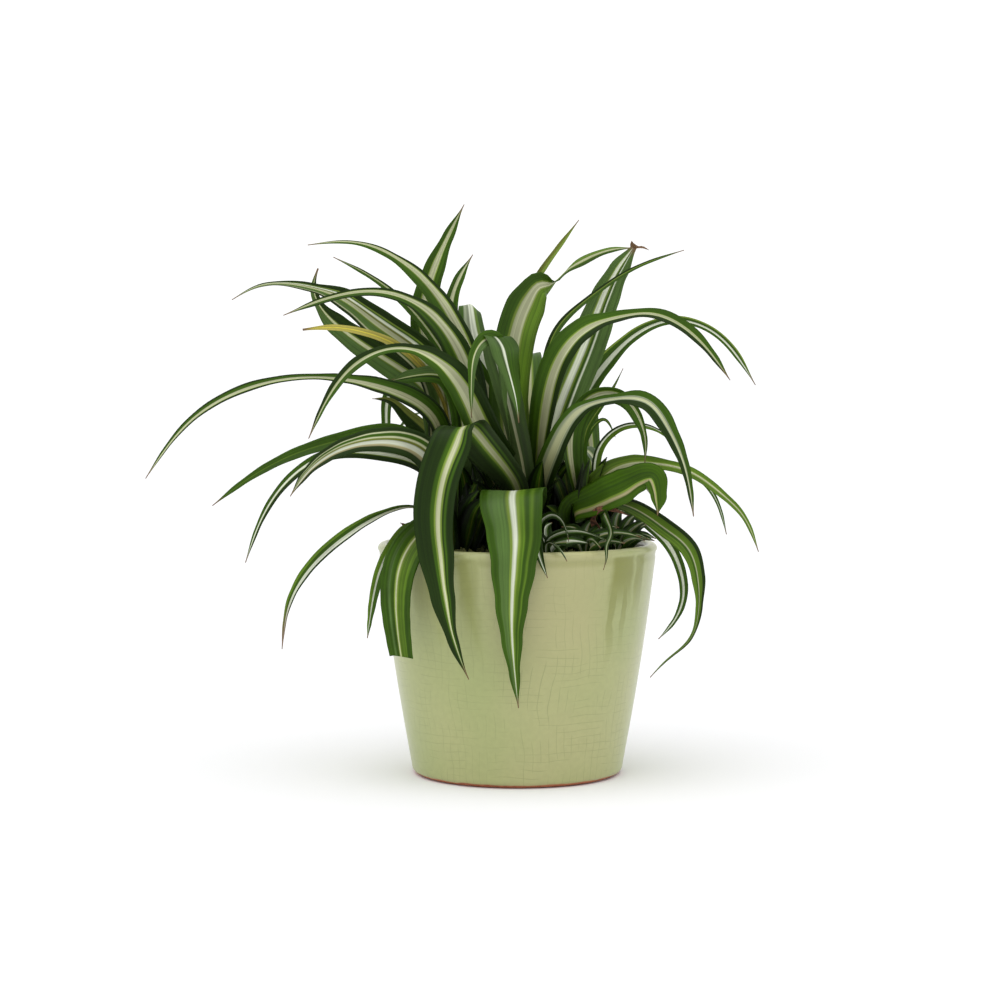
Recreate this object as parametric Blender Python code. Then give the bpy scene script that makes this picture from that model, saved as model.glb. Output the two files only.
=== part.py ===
"""Potted spider plant: a glazed pot with soil, four crowns of arching leaves and small plantlets.

The frame's origin is the centre of the pot's flat foot, +Z is up and -Y is the plant's front.
"""
import math
from collections import namedtuple

import bmesh
import bpy
import numpy as np

MM = 0.001
GAP = 0.3                      # clearance between touching pieces, mm

# pot, mm
POT_HEIGHT = 103.4
RIM_RADIUS = 62.5
FOOT_RADIUS = 44.6
FOOT_CORNER = 3.6
FOOT_EDGE = 1.2                # width of the eased edge round the flat of the foot
SIDE_START = 2.7               # how far the side has come out when it leaves the foot's corner
SIDE_BULGE = 0.9               # how far the side swells beyond a straight cone
LIP_HEIGHT = 4.6
GROOVE_DEPTH = 0.5
RIM_ROUND = 2.7
RIM_STEPS = 5
WALL = 5.4
WALL_TOP = 90.0                # above this height the inside runs straight to the rim's roll
FLOOR = 8.0
FLOOR_RISE = 4.0
FLOOR_INSET = 3.0
WALL_LEVELS = (WALL_TOP, 62.0, 34.0, FLOOR + FLOOR_RISE)
SIDE_STEPS = 5
POT_SIDES = 48

# soil and crowns, mm
SOIL_LEVEL = 98.0
SOIL_WAVE = 0.9
SOIL_EDGE = 2.6                # how much lower the soil meets the wall
SOIL_RINGS = 7
CROWN_TOP = 100.5
CROWN_DEPTH = 24.0
CROWN_POINT = 7.0              # height over which a crown tapers towards its foot
CROWN_BEVEL = 0.8
CROWN_SIDES = 20

# plantlets, mm
CORE_RADIUS = 3.4
CORE_DEPTH = 9.0
CORE_TOP = 101.5
CORE_SIDES = 12
SMALL_SEGMENTS = 7

# leaves, mm
LEAF_SEGMENTS = 13
ROOT_WIDTH = 4.2
ROOT_THICK = 1.1
BLADE_THICK = 0.7
TIP_WIDTH = 1.0
CUT_LOSS = 0.4                 # share of its width that a cut leaf has lost where it ends
CUT_SLANT = 1.5
ROOT_FOLD = 35                 # angle that each half of the blade is raised by, degrees
FIRST_RING = 3.0               # radius of the innermost leaf base about its crown's axis
RING_STEP = 2.2
LIFT_HEIGHT = 26.0
LIFT_SPREAD = 0.7              # how far a base leans out over that height, as a share of its ring

Crown = namedtuple("Crown", "name x y radius")
Plantlet = namedtuple("Plantlet", "name x y blades")
Leaf = namedtuple("Leaf", "name crown width roll fold widest taper cut points")


def leaf(name, crown, width, points, roll=(0, 0), fold=14, widest=0.4, taper=1.7, cut=False):
    """Describe a leaf by its crown, its width and the points that its midrib passes, in mm.

    roll turns the blade about its midrib so that its upper face looks to the front, in
    degrees at mid length and at the tip; widest is where along the leaf it is broadest,
    and a larger taper keeps it broad for longer beyond there.
    """
    return Leaf(name, crown, width, roll, fold, widest, taper, cut, points)


def blade(width, points):
    """Describe a narrow blade of a plantlet; it starts in the plantlet's core."""
    return leaf("", "", width, points, fold=20, widest=0.3)


CROWNS = [
    Crown("crown_main", 4, 2, 14),
    Crown("crown_left", -21, 1, 10),
    Crown("crown_front", -27, -21, 8),
    Crown("crown_right", 28, -9, 10),
]

LEAVES = [
    # upright leaves and those that arch to the left from the main crown
    leaf("leaf_spike_tall", "crown_main", 14, roll=(80, 80), points=[
        (-18, 16, 151), (-32, 20, 176), (-42, 21, 198), (-40, 22, 219), (-33, 22, 237), (-24, 22, 255)]),
    leaf("leaf_spike_short", "crown_main", 9, roll=(80, 80), points=[
        (-6, 14, 153), (-20, 14, 182), (-30, 12, 203), (-28, 12, 217), (-20, 13, 232)]),
    leaf("leaf_left_high", "crown_main", 14, roll=(60, 60), widest=0.45, points=[
        (-18, 0, 157), (-23, -2, 184), (-31, -5, 204), (-48, -10, 225), (-71, -14, 236), (-92, -17, 235)]),
    leaf("leaf_left_slim", "crown_main", 7, roll=(60, 60), points=[
        (-15, 10, 157), (-30, 13, 182), (-49, 14, 208), (-66, 15, 222), (-83, 16, 231)]),
    leaf("leaf_left_arch", "crown_main", 14, roll=(55, 45), widest=0.5, points=[
        (-17, -11, 154), (-25, -16, 184), (-43, -23, 208), (-60, -29, 214), (-79, -34, 212),
        (-101, -38, 204)]),
    leaf("leaf_left_front", "crown_main", 14, roll=(35, 35), widest=0.5, points=[
        (-13, -23, 150), (-26, -34, 176), (-50, -50, 190), (-69, -60, 183), (-79, -65, 171),
        (-88, -69, 152)]),
    # leaves of the left crown
    leaf("leaf_left_long", "crown_left", 14, roll=(40, 40), points=[
        (-37, -9, 160), (-59, -17, 173), (-79, -24, 177), (-99, -31, 177),
        (-122, -36, 171), (-141, -40, 159), (-160, -44, 134)]),
    leaf("leaf_left_wide", "crown_left", 16, roll=(65, 50), points=[
        (-38, 5, 180), (-64, -3, 202), (-76, -8, 211), (-93, -13, 217),
        (-114, -17, 217), (-125, -20, 211)]),
    leaf("leaf_left_hook", "crown_left", 16, roll=(65, 80), points=[
        (-38, 11, 167), (-55, 13, 182), (-76, 15, 196), (-87, 16, 206), (-92, 17, 217), (-90, 18, 226)]),
    leaf("leaf_yellow", "crown_left", 5, roll=(50, 50), points=[
        (-35, -9, 177), (-52, -13, 190), (-68, -16, 197), (-82, -19, 199), (-94, -21, 198)]),
    leaf("leaf_left_inner", "crown_left", 11, roll=(50, 50), points=[
        (-27, -1, 168), (-33, -1, 177), (-44, -2, 178), (-58, -4, 175)]),
    leaf("leaf_left_low", "crown_left", 9, roll=(45, 45), points=[
        (-40, -14, 143), (-52, -19, 152), (-73, -26, 151), (-97, -32, 144), (-116, -36, 134),
        (-132, -39, 122)]),
    leaf("leaf_back_hanging", "crown_left", 7, roll=(45, 45), points=[
        (-36, 20, 162), (-50, 28, 177), (-58, 30, 170), (-60, 31, 157), (-60, 31, 143)]),
    leaf("leaf_back_olive", "crown_left", 14, roll=(-60, -60), points=[
        (-39, 17, 147), (-51, 20, 160), (-58, 22, 166), (-66, 23, 167)]),
    # leaves of the front crown, two of them over the rim
    leaf("leaf_left_broad", "crown_front", 15, roll=(55, 55), widest=0.6, points=[
        (-41, -34, 145), (-64, -43, 150), (-80, -49, 145), (-90, -53, 137), (-97, -55, 127)]),
    leaf("leaf_left_thin", "crown_front", 8, roll=(40, 40), points=[
        (-40, -20, 136), (-60, -30, 144), (-81, -37, 144), (-98, -42, 134), (-110, -45, 117),
        (-117, -47, 98)]),
    leaf("leaf_left_drooping", "crown_front", 10, roll=(50, 40), points=[
        (-42, -21, 121), (-59, -26, 120), (-75, -31, 110), (-90, -36, 96), (-99, -39, 80), (-102, -41, 61)]),
    leaf("leaf_rim_narrow", "crown_front", 9, roll=(30, 30), points=[
        (-45, -29, 112), (-53, -36, 106), (-59, -40, 95), (-62, -42, 84), (-65, -43, 65)]),
    leaf("leaf_rim_cut", "crown_front", 17, roll=(25, 25), cut=True, points=[
        (-38, -37, 112), (-45, -43, 107), (-50, -48, 98), (-52, -50, 88), (-52, -51, 75), (-50, -51, 58)]),
    # leaves that fold over at the front
    leaf("leaf_front_left", "crown_main", 20, roll=(0, 0), widest=0.5, taper=2.3, points=[
        (-9, -31, 147), (-20, -44, 157), (-30, -52, 151), (-35, -58, 136),
        (-36, -62, 118), (-33, -65, 92), (-23, -65, 54)]),
    leaf("leaf_front_centre", "crown_main", 29, roll=(0, 0), fold=5, widest=0.4, taper=1.1, points=[
        (2, -24, 120), (0, -36, 126), (-2, -47, 129), (-3, -56, 126), (-2, -63, 115),
        (-2, -66, 101), (-3, -68, 76), (0, -66, 38)]),
    leaf("leaf_folded_left", "crown_main", 12, roll=(50, 20), points=[
        (-3, -12, 150), (-4, -20, 174), (-7, -27, 190), (-13, -33, 194), (-18, -38, 189),
        (-20, -41, 178), (-20, -43, 160)]),
    leaf("leaf_folded_right", "crown_main", 14, roll=(0, 0), widest=0.45, points=[
        (6, -13, 128), (2, -20, 150), (-1, -27, 170), (-5, -34, 184), (-5, -38, 187), (-4, -42, 181),
        (-2, -44, 170), (0, -46, 156)]),
    # upright leaves and those that arch to the right from the main crown
    leaf("leaf_top_round", "crown_main", 15, points=[
        (-6, 20, 153), (-14, 34, 187), (-21, 46, 210), (-26, 60, 206), (-31, 73, 193), (-34, 80, 176)]),
    leaf("leaf_centre_twisted", "crown_main", 19, roll=(80, 170), points=[
        (-1, 7, 167), (-1, 8, 192), (6, 10, 210), (12, 12, 218), (24, 14, 225), (36, 15, 231),
        (52, 16, 236)]),
    leaf("leaf_centre_thin", "crown_main", 6, roll=(70, 70), points=[
        (3, 14, 160), (1, 17, 189), (6, 19, 216), (16, 20, 232), (28, 21, 248)]),
    leaf("leaf_right_tall", "crown_main", 20, roll=(75, 75), points=[
        (22, 14, 167), (33, 19, 194), (40, 22, 213), (46, 24, 225), (54, 26, 237)]),
    leaf("leaf_right_slim", "crown_main", 6, roll=(50, 50), points=[
        (10, 1, 160), (12, 2, 178), (17, 4, 197), (33, 7, 213), (51, 10, 225), (75, 13, 234)]),
    leaf("leaf_right_arch", "crown_main", 17, roll=(65, 45), points=[
        (12, -12, 166), (18, -15, 186), (30, -18, 199), (45, -21, 204), (59, -25, 205),
        (75, -28, 197), (92, -31, 176)]),
    leaf("leaf_right_behind", "crown_main", 11, roll=(50, 50), points=[
        (26, 26, 162), (43, 34, 186), (57, 38, 198), (73, 40, 203), (90, 40, 198), (110, 38, 173)]),
    leaf("leaf_right_front", "crown_main", 17, roll=(60, 50), points=[
        (16, -20, 145), (27, -30, 163), (41, -38, 168), (55, -43, 167), (64, -46, 156),
        (71, -48, 140), (75, -49, 118)]),
    # leaves of the right crown
    leaf("leaf_right_spike", "crown_right", 5, roll=(50, 50), points=[
        (31, -1, 154), (40, -1, 168), (47, -2, 181)]),
    leaf("leaf_right_hanging", "crown_right", 10, roll=(30, 30), points=[
        (25, -17, 156), (35, -24, 169), (44, -28, 169), (52, -31, 160), (55, -33, 150), (55, -33, 140)]),
    leaf("leaf_right_small", "crown_right", 5, roll=(30, 30), points=[
        (31, 6, 150), (39, 7, 158), (44, 7, 150)]),
    leaf("leaf_right_hoop", "crown_right", 7, roll=(40, 40), points=[
        (37, -7, 146), (43, -9, 153), (51, -13, 156), (63, -16, 153), (70, -17, 147)]),
    leaf("leaf_right_long", "crown_right", 12, roll=(55, 50), widest=0.25, points=[
        (39, -18, 138), (46, -21, 144), (60, -25, 143), (75, -29, 137), (88, -33, 127),
        (97, -36, 118), (104, -38, 102)]),
    leaf("leaf_right_twin", "crown_right", 6, roll=(50, 50), points=[
        (46, -4, 139), (62, -8, 140), (77, -12, 135), (86, -15, 126), (92, -17, 108)]),
    leaf("leaf_right_bright", "crown_right", 16, roll=(60, 40), points=[
        (31, -29, 126), (44, -36, 134), (53, -40, 139), (59, -44, 136), (59, -46, 129),
        (54, -47, 124), (50, -48, 120)]),
    leaf("leaf_right_drooping", "crown_right", 12, roll=(55, 50), points=[
        (40, -19, 121), (53, -25, 119), (65, -30, 111), (74, -35, 103), (78, -38, 90),
        (78, -40, 76), (74, -41, 64), (65, -42, 56), (57, -43, 48)]),
    leaf("leaf_right_inside", "crown_right", 8, roll=(50, 50), points=[
        (45, -9, 118), (58, -12, 112), (67, -14, 103), (72, -16, 92), (73, -18, 80), (69, -19, 70),
        (62, -20, 62)]),
    # leaves of the back
    leaf("leaf_back_right", "crown_main", 14, points=[
        (22, 30, 155), (28, 56, 171), (33, 84, 164), (37, 104, 140), (39, 116, 108), (40, 120, 78)]),
    leaf("leaf_back_left", "crown_main", 14, points=[
        (-12, 38, 156), (-22, 62, 166), (-30, 88, 158), (-36, 108, 138), (-40, 118, 110), (-42, 122, 82)]),
    leaf("leaf_back_centre", "crown_main", 15, points=[
        (5, 42, 168), (5, 66, 186), (4, 90, 183), (5, 112, 164), (6, 126, 132), (6, 130, 98)]),
    leaf("leaf_back_side", "crown_left", 11, points=[
        (-27, 38, 148), (-42, 60, 160), (-54, 74, 154), (-60, 81, 144)]),
    leaf("leaf_back_low_left", "crown_main", 10, points=[
        (-20, 36, 128), (-32, 56, 137), (-42, 76, 129), (-46, 86, 112)]),
    leaf("leaf_back_low_right", "crown_main", 12, points=[
        (20, 36, 136), (30, 58, 143), (38, 80, 136), (42, 94, 119)]),
    leaf("leaf_back_corner", "crown_right", 10, points=[
        (43, 13, 128), (52, 26, 131), (62, 36, 123), (66, 40, 115)]),
]

PLANTLETS = [
    Plantlet("plantlet_left", 13, -43, [
        blade(3.0, [(12, -45, 113), (17, -46, 118), (20, -47, 115), (22, -48, 109)]),
        blade(3.4, [(12, -50, 108), (14, -57, 108), (18, -63, 104), (20, -66, 100)]),
        blade(4.0, [(15, -45, 108), (21, -49, 112), (27, -51, 112), (32, -53, 110), (36, -57, 105),
                    (37, -61, 100), (35, -63, 98)]),
        blade(3.4, [(9, -47, 106), (7, -55, 109), (8, -62, 104), (10, -65, 100), (12, -66, 95)]),
        blade(3.0, [(12, -38, 106), (15, -34, 110), (19, -33, 109)]),
    ]),
    Plantlet("plantlet_middle", 29, -38, [
        blade(2.6, [(30, -42, 110), (33, -46, 113), (37, -50, 111), (40, -52, 106)]),
        blade(2.6, [(33, -38, 108), (38, -39, 113), (39, -40, 117), (36, -41, 120)]),
        blade(3.4, [(26, -42, 107), (23, -43, 108), (19, -42, 106)]),
        blade(3.0, [(27, -34, 107), (24, -31, 111), (20, -30, 110)]),
    ]),
    Plantlet("plantlet_right", 44, -24, [
        blade(3.6, [(45, -29, 105), (45, -35, 107), (49, -41, 109)]),
        blade(3.4, [(48, -25, 107), (52, -28, 111), (56, -31, 109)]),
        blade(3.0, [(42, -28, 108), (39, -31, 110), (36, -33, 108)]),
        blade(3.0, [(46, -20, 106), (49, -18, 110), (53, -17, 108)]),
    ]),
    # stubs of dead leaves, each with the dry leaf still on it
    Plantlet("flake_left", -42, -13, [
        blade(6.0, [(-43, -13, 106), (-47, -14, 110), (-52, -14, 113)]),
    ]),
    Plantlet("flake_right", 35, -30, [
        blade(5.0, [(34, -30, 110), (33, -29, 117), (37, -29, 120), (42, -30, 119), (47, -31, 116)]),
    ]),
]


def clear_scene():
    for item in list(bpy.data.objects):
        bpy.data.objects.remove(item, do_unlink=True)


def make_material(name, colour, roughness):
    material = bpy.data.materials.new(name)
    material.use_nodes = True
    shader = material.node_tree.nodes["Principled BSDF"]
    shader.inputs["Base Color"].default_value = (*colour, 1.0)
    shader.inputs["Roughness"].default_value = roughness
    shader.inputs["Metallic"].default_value = 0.0
    return material


def add_object(name, vertices, faces, material):
    """Add a mesh given in mm to the scene, in metres and with its faces pointing out."""
    mesh = bpy.data.meshes.new(name)
    mesh.from_pydata([tuple(float(c) * MM for c in v) for v in vertices], [], faces)
    bm = bmesh.new()
    bm.from_mesh(mesh)
    bmesh.ops.recalc_face_normals(bm, faces=bm.faces)
    bm.to_mesh(mesh)
    bm.free()
    mesh.materials.append(material)
    item = bpy.data.objects.new(name, mesh)
    bpy.context.scene.collection.objects.link(item)
    return item


def turned(profile, sides):
    """Turn a closed (radius, height) profile about Z; points at radius 0 become one vertex."""
    vertices = []
    rings = []
    for radius, height in profile:
        start = len(vertices)
        count = sides if radius > 0 else 1
        for k in range(count):
            angle = 2 * math.pi * k / sides
            vertices.append((radius * math.cos(angle), radius * math.sin(angle), height))
        rings.append([start + (k if count > 1 else 0) for k in range(sides)])
    faces = []
    for low, high in zip(rings, rings[1:]):
        for k in range(sides):
            corners = [low[k], low[(k + 1) % sides], high[(k + 1) % sides], high[k]]
            face = [c for i, c in enumerate(corners) if c not in corners[:i]]
            if len(face) > 2:
                faces.append(face)
    return vertices, faces


def smooth(item, angle=40):
    item.data.shade_smooth()
    item.data.set_sharp_from_angle(angle=math.radians(angle))


def side_radius(height):
    """Outer radius of the pot's side between its foot corner and its lip."""
    share = (height - FOOT_CORNER) / (POT_HEIGHT - FOOT_CORNER)
    start = FOOT_RADIUS + SIDE_START
    return start + share * (RIM_RADIUS - start) + SIDE_BULGE * math.sin(math.pi * share)


def inner_radius(height):
    if height <= WALL_TOP:
        return side_radius(height) - WALL
    share = (height - WALL_TOP) / (POT_HEIGHT - RIM_ROUND - WALL_TOP)
    low = side_radius(WALL_TOP) - WALL
    return low + share * (RIM_RADIUS - 2 * RIM_ROUND - low)


def pot_profile():
    groove = POT_HEIGHT - LIP_HEIGHT
    below = groove - 4 * GROOVE_DEPTH
    above = groove + 2 * GROOVE_DEPTH
    outside = [(0, 0), (FOOT_RADIUS * 0.6, 0), (FOOT_RADIUS - FOOT_EDGE, 0), (FOOT_RADIUS, FOOT_EDGE * 0.4)]
    outside.append((FOOT_RADIUS + SIDE_START * 0.72, FOOT_CORNER * 0.45))
    for k in range(SIDE_STEPS + 1):
        height = FOOT_CORNER + (below - FOOT_CORNER) * k / SIDE_STEPS
        outside.append((side_radius(height), height))
    outside += [(side_radius(groove) - GROOVE_DEPTH, groove), (side_radius(above), above)]
    rim = []
    for k in range(RIM_STEPS + 1):
        angle = math.pi * k / RIM_STEPS
        rim.append((RIM_RADIUS - RIM_ROUND + RIM_ROUND * math.cos(angle),
                    POT_HEIGHT - RIM_ROUND + RIM_ROUND * math.sin(angle)))
    inside = [(inner_radius(height), height) for height in WALL_LEVELS]
    inside += [(inner_radius(FLOOR) - FLOOR_INSET, FLOOR), (0, FLOOR)]
    return outside + rim + inside


def make_pot():
    glaze = make_material("pot_glaze", (0.41, 0.44, 0.22), 0.22)
    vertices, faces = turned(pot_profile(), POT_SIDES)
    smooth(add_object("pot", vertices, faces, glaze))


def soil_height(x, y):
    """Lumpy surface of the soil, lowest by the wall."""
    edge = (math.hypot(x, y) / inner_radius(SOIL_LEVEL)) ** 4
    lumps = math.sin(x * 0.21 + 1.0) * math.cos(y * 0.17 - 0.6) + 0.5 * math.sin(x * 0.43 - y * 0.37)
    return SOIL_LEVEL + SOIL_WAVE * lumps - 0.6 * SOIL_EDGE * edge


def make_soil(holes):
    """Fill the pot with soil, and cut a plain hole for each (x, y, radius, depth) stub."""
    earth = make_material("soil", (0.022, 0.014, 0.009), 0.95)
    floor = FLOOR + GAP
    vertices = [(0, 0, floor)]
    rings = [(inner_radius(FLOOR) - FLOOR_INSET - GAP, floor)]
    for height in (*WALL_LEVELS[::-1], SOIL_LEVEL - SOIL_EDGE):
        rings.append((inner_radius(height) - GAP, height))
    for radius, height in rings:
        for k in range(POT_SIDES):
            angle = 2 * math.pi * k / POT_SIDES
            vertices.append((radius * math.cos(angle), radius * math.sin(angle), height))
    outer = rings[-1][0]
    for ring in range(SOIL_RINGS):
        radius = outer * (1 - (ring + 0.35) / SOIL_RINGS)
        for k in range(POT_SIDES):
            angle = 2 * math.pi * k / POT_SIDES
            x, y = radius * math.cos(angle), radius * math.sin(angle)
            vertices.append((x, y, soil_height(x, y)))
    vertices.append((0, 0, soil_height(0, 0)))
    faces = []
    for k in range(POT_SIDES):
        after = (k + 1) % POT_SIDES
        faces.append((0, 1 + k, 1 + after))
        for ring in range(len(rings) + SOIL_RINGS - 1):
            low = 1 + ring * POT_SIDES
            high = low + POT_SIDES
            faces.append((low + k, low + after, high + after))
            faces.append((low + k, high + after, high + k))
        last = 1 + (len(rings) + SOIL_RINGS - 1) * POT_SIDES
        faces.append((last + k, last + after, len(vertices) - 1))
    soil = add_object("soil", vertices, faces, earth)
    cutters = bpy.data.collections.new("soil_holes")
    bpy.context.scene.collection.children.link(cutters)
    for index, (x, y, radius, depth) in enumerate(holes):
        profile = [(0, SOIL_LEVEL - depth), (radius, SOIL_LEVEL - depth), (radius, SOIL_LEVEL + 20),
                   (0, SOIL_LEVEL + 20)]
        points, sides = turned(profile, CROWN_SIDES)
        cutter = add_object(f"hole_{index}", [(px + x, py + y, pz) for px, py, pz in points], sides, earth)
        bpy.context.scene.collection.objects.unlink(cutter)
        cutters.objects.link(cutter)
    cut = soil.modifiers.new("holes", "BOOLEAN")
    cut.operation = "DIFFERENCE"
    cut.operand_type = "COLLECTION"
    cut.collection = cutters
    apply_and_drop(soil, cutters)
    smooth(soil, 50)


def apply_and_drop(item, cutters):
    """Apply an object's modifiers, then remove the collection that they used."""
    graph = bpy.context.evaluated_depsgraph_get()
    mesh = bpy.data.meshes.new_from_object(item.evaluated_get(graph))
    item.modifiers.clear()
    item.data = mesh
    for helper in list(cutters.objects):
        bpy.data.objects.remove(helper, do_unlink=True)
    bpy.data.collections.remove(cutters)


def make_crowns():
    pith = make_material("crown", (0.36, 0.38, 0.17), 0.7)
    for crown in CROWNS:
        foot = SOIL_LEVEL - CROWN_DEPTH + GAP
        profile = [(0, foot), (crown.radius * 0.6, foot), (crown.radius, foot + CROWN_POINT),
                   (crown.radius, CROWN_TOP - CROWN_BEVEL), (crown.radius - CROWN_BEVEL, CROWN_TOP),
                   (0, CROWN_TOP)]
        vertices, faces = turned(profile, CROWN_SIDES)
        placed = [(x + crown.x, y + crown.y, z) for x, y, z in vertices]
        smooth(add_object(crown.name, placed, faces, pith))


def natural_spline(points):
    """Return a function that reads the natural cubic spline through points at 0..1 of its chord."""
    points = np.array(points, float)
    knots = np.concatenate([[0.0], np.cumsum(np.linalg.norm(np.diff(points, axis=0), axis=1))])
    step = np.diff(knots)
    size = len(points)
    matrix = np.eye(size)
    right = np.zeros_like(points)
    slope = np.diff(points, axis=0) / step[:, None]
    for i in range(1, size - 1):
        matrix[i, i - 1:i + 2] = step[i - 1], 2 * (step[i - 1] + step[i]), step[i]
        right[i] = 3 * (slope[i] - slope[i - 1])
    bend = np.linalg.solve(matrix, right)

    def read(share):
        at = np.atleast_1d(share) * knots[-1]
        i = np.clip(np.searchsorted(knots, at, side="right") - 1, 0, size - 2)
        t = (at - knots[i])[:, None]
        h = step[i][:, None]
        first = slope[i] - h * (2 * bend[i] + bend[i + 1]) / 3
        return points[i] + first * t + bend[i] * t ** 2 + (bend[i + 1] - bend[i]) / (3 * h) * t ** 3

    return read


def midrib(points, segments):
    """Sample the curve so that stations crowd where it bends; return stations and their shares."""
    read = natural_spline(points)
    fine = read(np.linspace(0, 1, 400))
    runs = np.linalg.norm(np.diff(fine, axis=0), axis=1)
    length = np.concatenate([[0.0], np.cumsum(runs)])
    heading = np.diff(fine, axis=0) / runs[:, None]
    turn = np.concatenate([[0.0], np.linalg.norm(np.diff(heading, axis=0), axis=1)])
    weight = runs / length[-1] + 0.45 * turn / max(turn.sum(), 1.0)
    reach = np.concatenate([[0.0], np.cumsum(weight)])
    wanted = np.linspace(0, reach[-1], segments + 1)
    spots = np.array([np.interp(wanted, reach, fine[:, k]) for k in range(3)]).T
    return spots, np.interp(wanted, reach, length) / length[-1]


def frames(spots, outward):
    """Carry a side direction along the stations without twist; outward points off the crown."""
    tangents = np.gradient(spots, axis=0)
    tangents /= np.linalg.norm(tangents, axis=1)[:, None]
    tangents[0] = 0, 0, 1      # the base is cut level, to stand on the crown
    side = np.array([-outward[1], outward[0], 0.0])
    sides = []
    for tangent in tangents:
        side = side - side.dot(tangent) * tangent
        side /= np.linalg.norm(side)
        sides.append(side)
    sides = np.array(sides)
    return tangents, sides, np.cross(tangents, sides)


def ease(share, start, end):
    t = np.clip((share - start) / (end - start), 0.0, 1.0)
    return t * t * (3 - 2 * t)


def blade_width(spec, share):
    """Width along the leaf: a narrow base, the broadest place, then a long taper to the tip."""
    rise = ROOT_WIDTH + (spec.width - ROOT_WIDTH) * ease(share, 0.0, spec.widest)
    beyond = np.clip((share - spec.widest) / (1 - spec.widest), 0.0, 1.0)
    loss = CUT_LOSS if spec.cut else 1.0
    return np.maximum(rise * (1 - loss * beyond ** spec.taper), TIP_WIDTH)


def leaf_sections(spec, path, outward, segments):
    """Six corners for each station: upper left, middle and right, then lower right to left."""
    spots, share = midrib(path, segments)
    tangents, sides, normals = frames(spots, outward)
    front = 1 if outward[0] > 0 else -1
    roll = np.interp(share, [0.05, 0.45, 1.0], [0, *spec.roll]) * front
    width = blade_width(spec, share)
    fold = ROOT_FOLD + (spec.fold - ROOT_FOLD) * ease(share, 0.0, 0.35)
    thick = ROOT_THICK + (BLADE_THICK - ROOT_THICK) * ease(share, 0.0, 0.35)
    sections = []
    for i, spot in enumerate(spots):
        turn = math.radians(roll[i])
        across = sides[i] * math.cos(turn) + normals[i] * math.sin(turn)
        up = normals[i] * math.cos(turn) - sides[i] * math.sin(turn)
        rise = math.radians(fold[i])
        half = width[i] / 2
        edge = up * half * math.sin(rise)
        slant = tangents[i] * CUT_SLANT if spec.cut and i == len(spots) - 1 else 0
        left = spot - across * half * math.cos(rise) + edge - slant
        right = spot + across * half * math.cos(rise) + edge + slant
        down = up * thick[i]
        sections.append([left, spot, right, right - down, spot - down, left - down])
    return sections


def lift_point(root, outward, ring, first):
    """A point above the root that makes the base rise steeply, and more so in the inner rings."""
    root = np.array(root, float)
    rise = min(LIFT_HEIGHT, 0.5 * (first[2] - root[2]))
    reach = outward.dot(np.array(first, float) - root)
    lean = min(ring * LIFT_SPREAD * rise / LIFT_HEIGHT, 0.6 * max(reach, 0.0))
    return root + outward * lean + np.array([0.0, 0.0, rise])


def leaf_mesh(sections):
    """Skin the stations with triangles that run alike on the upper and the lower face."""
    vertices = [corner for section in sections for corner in section]
    faces = []
    for i in range(len(sections) - 1):
        low, high = 6 * i, 6 * (i + 1)
        for k in range(6):
            after = (k + 1) % 6
            a, b, c, d = low + k, low + after, high + after, high + k
            faces += [(a, b, c), (a, c, d)] if k < 3 else [(a, b, d), (b, c, d)]
    for base, order in ((0, 1), (6 * (len(sections) - 1), -1)):
        for cap in ((0, 5, 4, 1), (1, 4, 3, 2)):
            faces.append([base + c for c in cap][::order])
    return vertices, faces


def leaf_seats(crown):
    """Give each leaf of a crown its root, steep leaves inside and reclining ones outside."""
    members = [spec for spec in LEAVES if spec.crown == crown.name]
    centre = np.array([crown.x, crown.y, CROWN_TOP + GAP])

    def lean(spec):
        aim = np.array(spec.points[0], float) - centre
        return math.hypot(aim[0], aim[1]) / aim[2]

    def heading(spec):
        aim = np.array(spec.points[0], float) - centre
        return math.atan2(aim[1], aim[0])

    placed = []
    seats = {}
    for spec in sorted(members, key=lean):
        angle = heading(spec)
        radius = FIRST_RING
        for other_angle, other_radius in sorted(placed, key=lambda seat: seat[1]):
            apart = abs((angle - other_angle + math.pi) % (2 * math.pi) - math.pi)
            reach = max(radius, other_radius)
            if apart * reach < ROOT_WIDTH + 1.0 and abs(radius - other_radius) < RING_STEP:
                radius = other_radius + RING_STEP
        placed.append((angle, radius))
        outward = np.array([math.cos(angle), math.sin(angle), 0.0])
        seats[spec.name] = (centre + outward * radius, outward, radius)
    return seats


def make_leaves(green):
    yellow = make_material("leaf_dying", (0.55, 0.52, 0.10), 0.5)
    for crown in CROWNS:
        seats = leaf_seats(crown)
        for spec in LEAVES:
            if spec.crown != crown.name:
                continue
            root, outward, ring = seats[spec.name]
            path = [root, lift_point(root, outward, ring, spec.points[0]), *spec.points]
            vertices, faces = leaf_mesh(leaf_sections(spec, path, outward, LEAF_SEGMENTS))
            colour = yellow if spec.name == "leaf_yellow" else green
            smooth(add_object(spec.name, vertices, faces, colour), 60)


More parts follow.
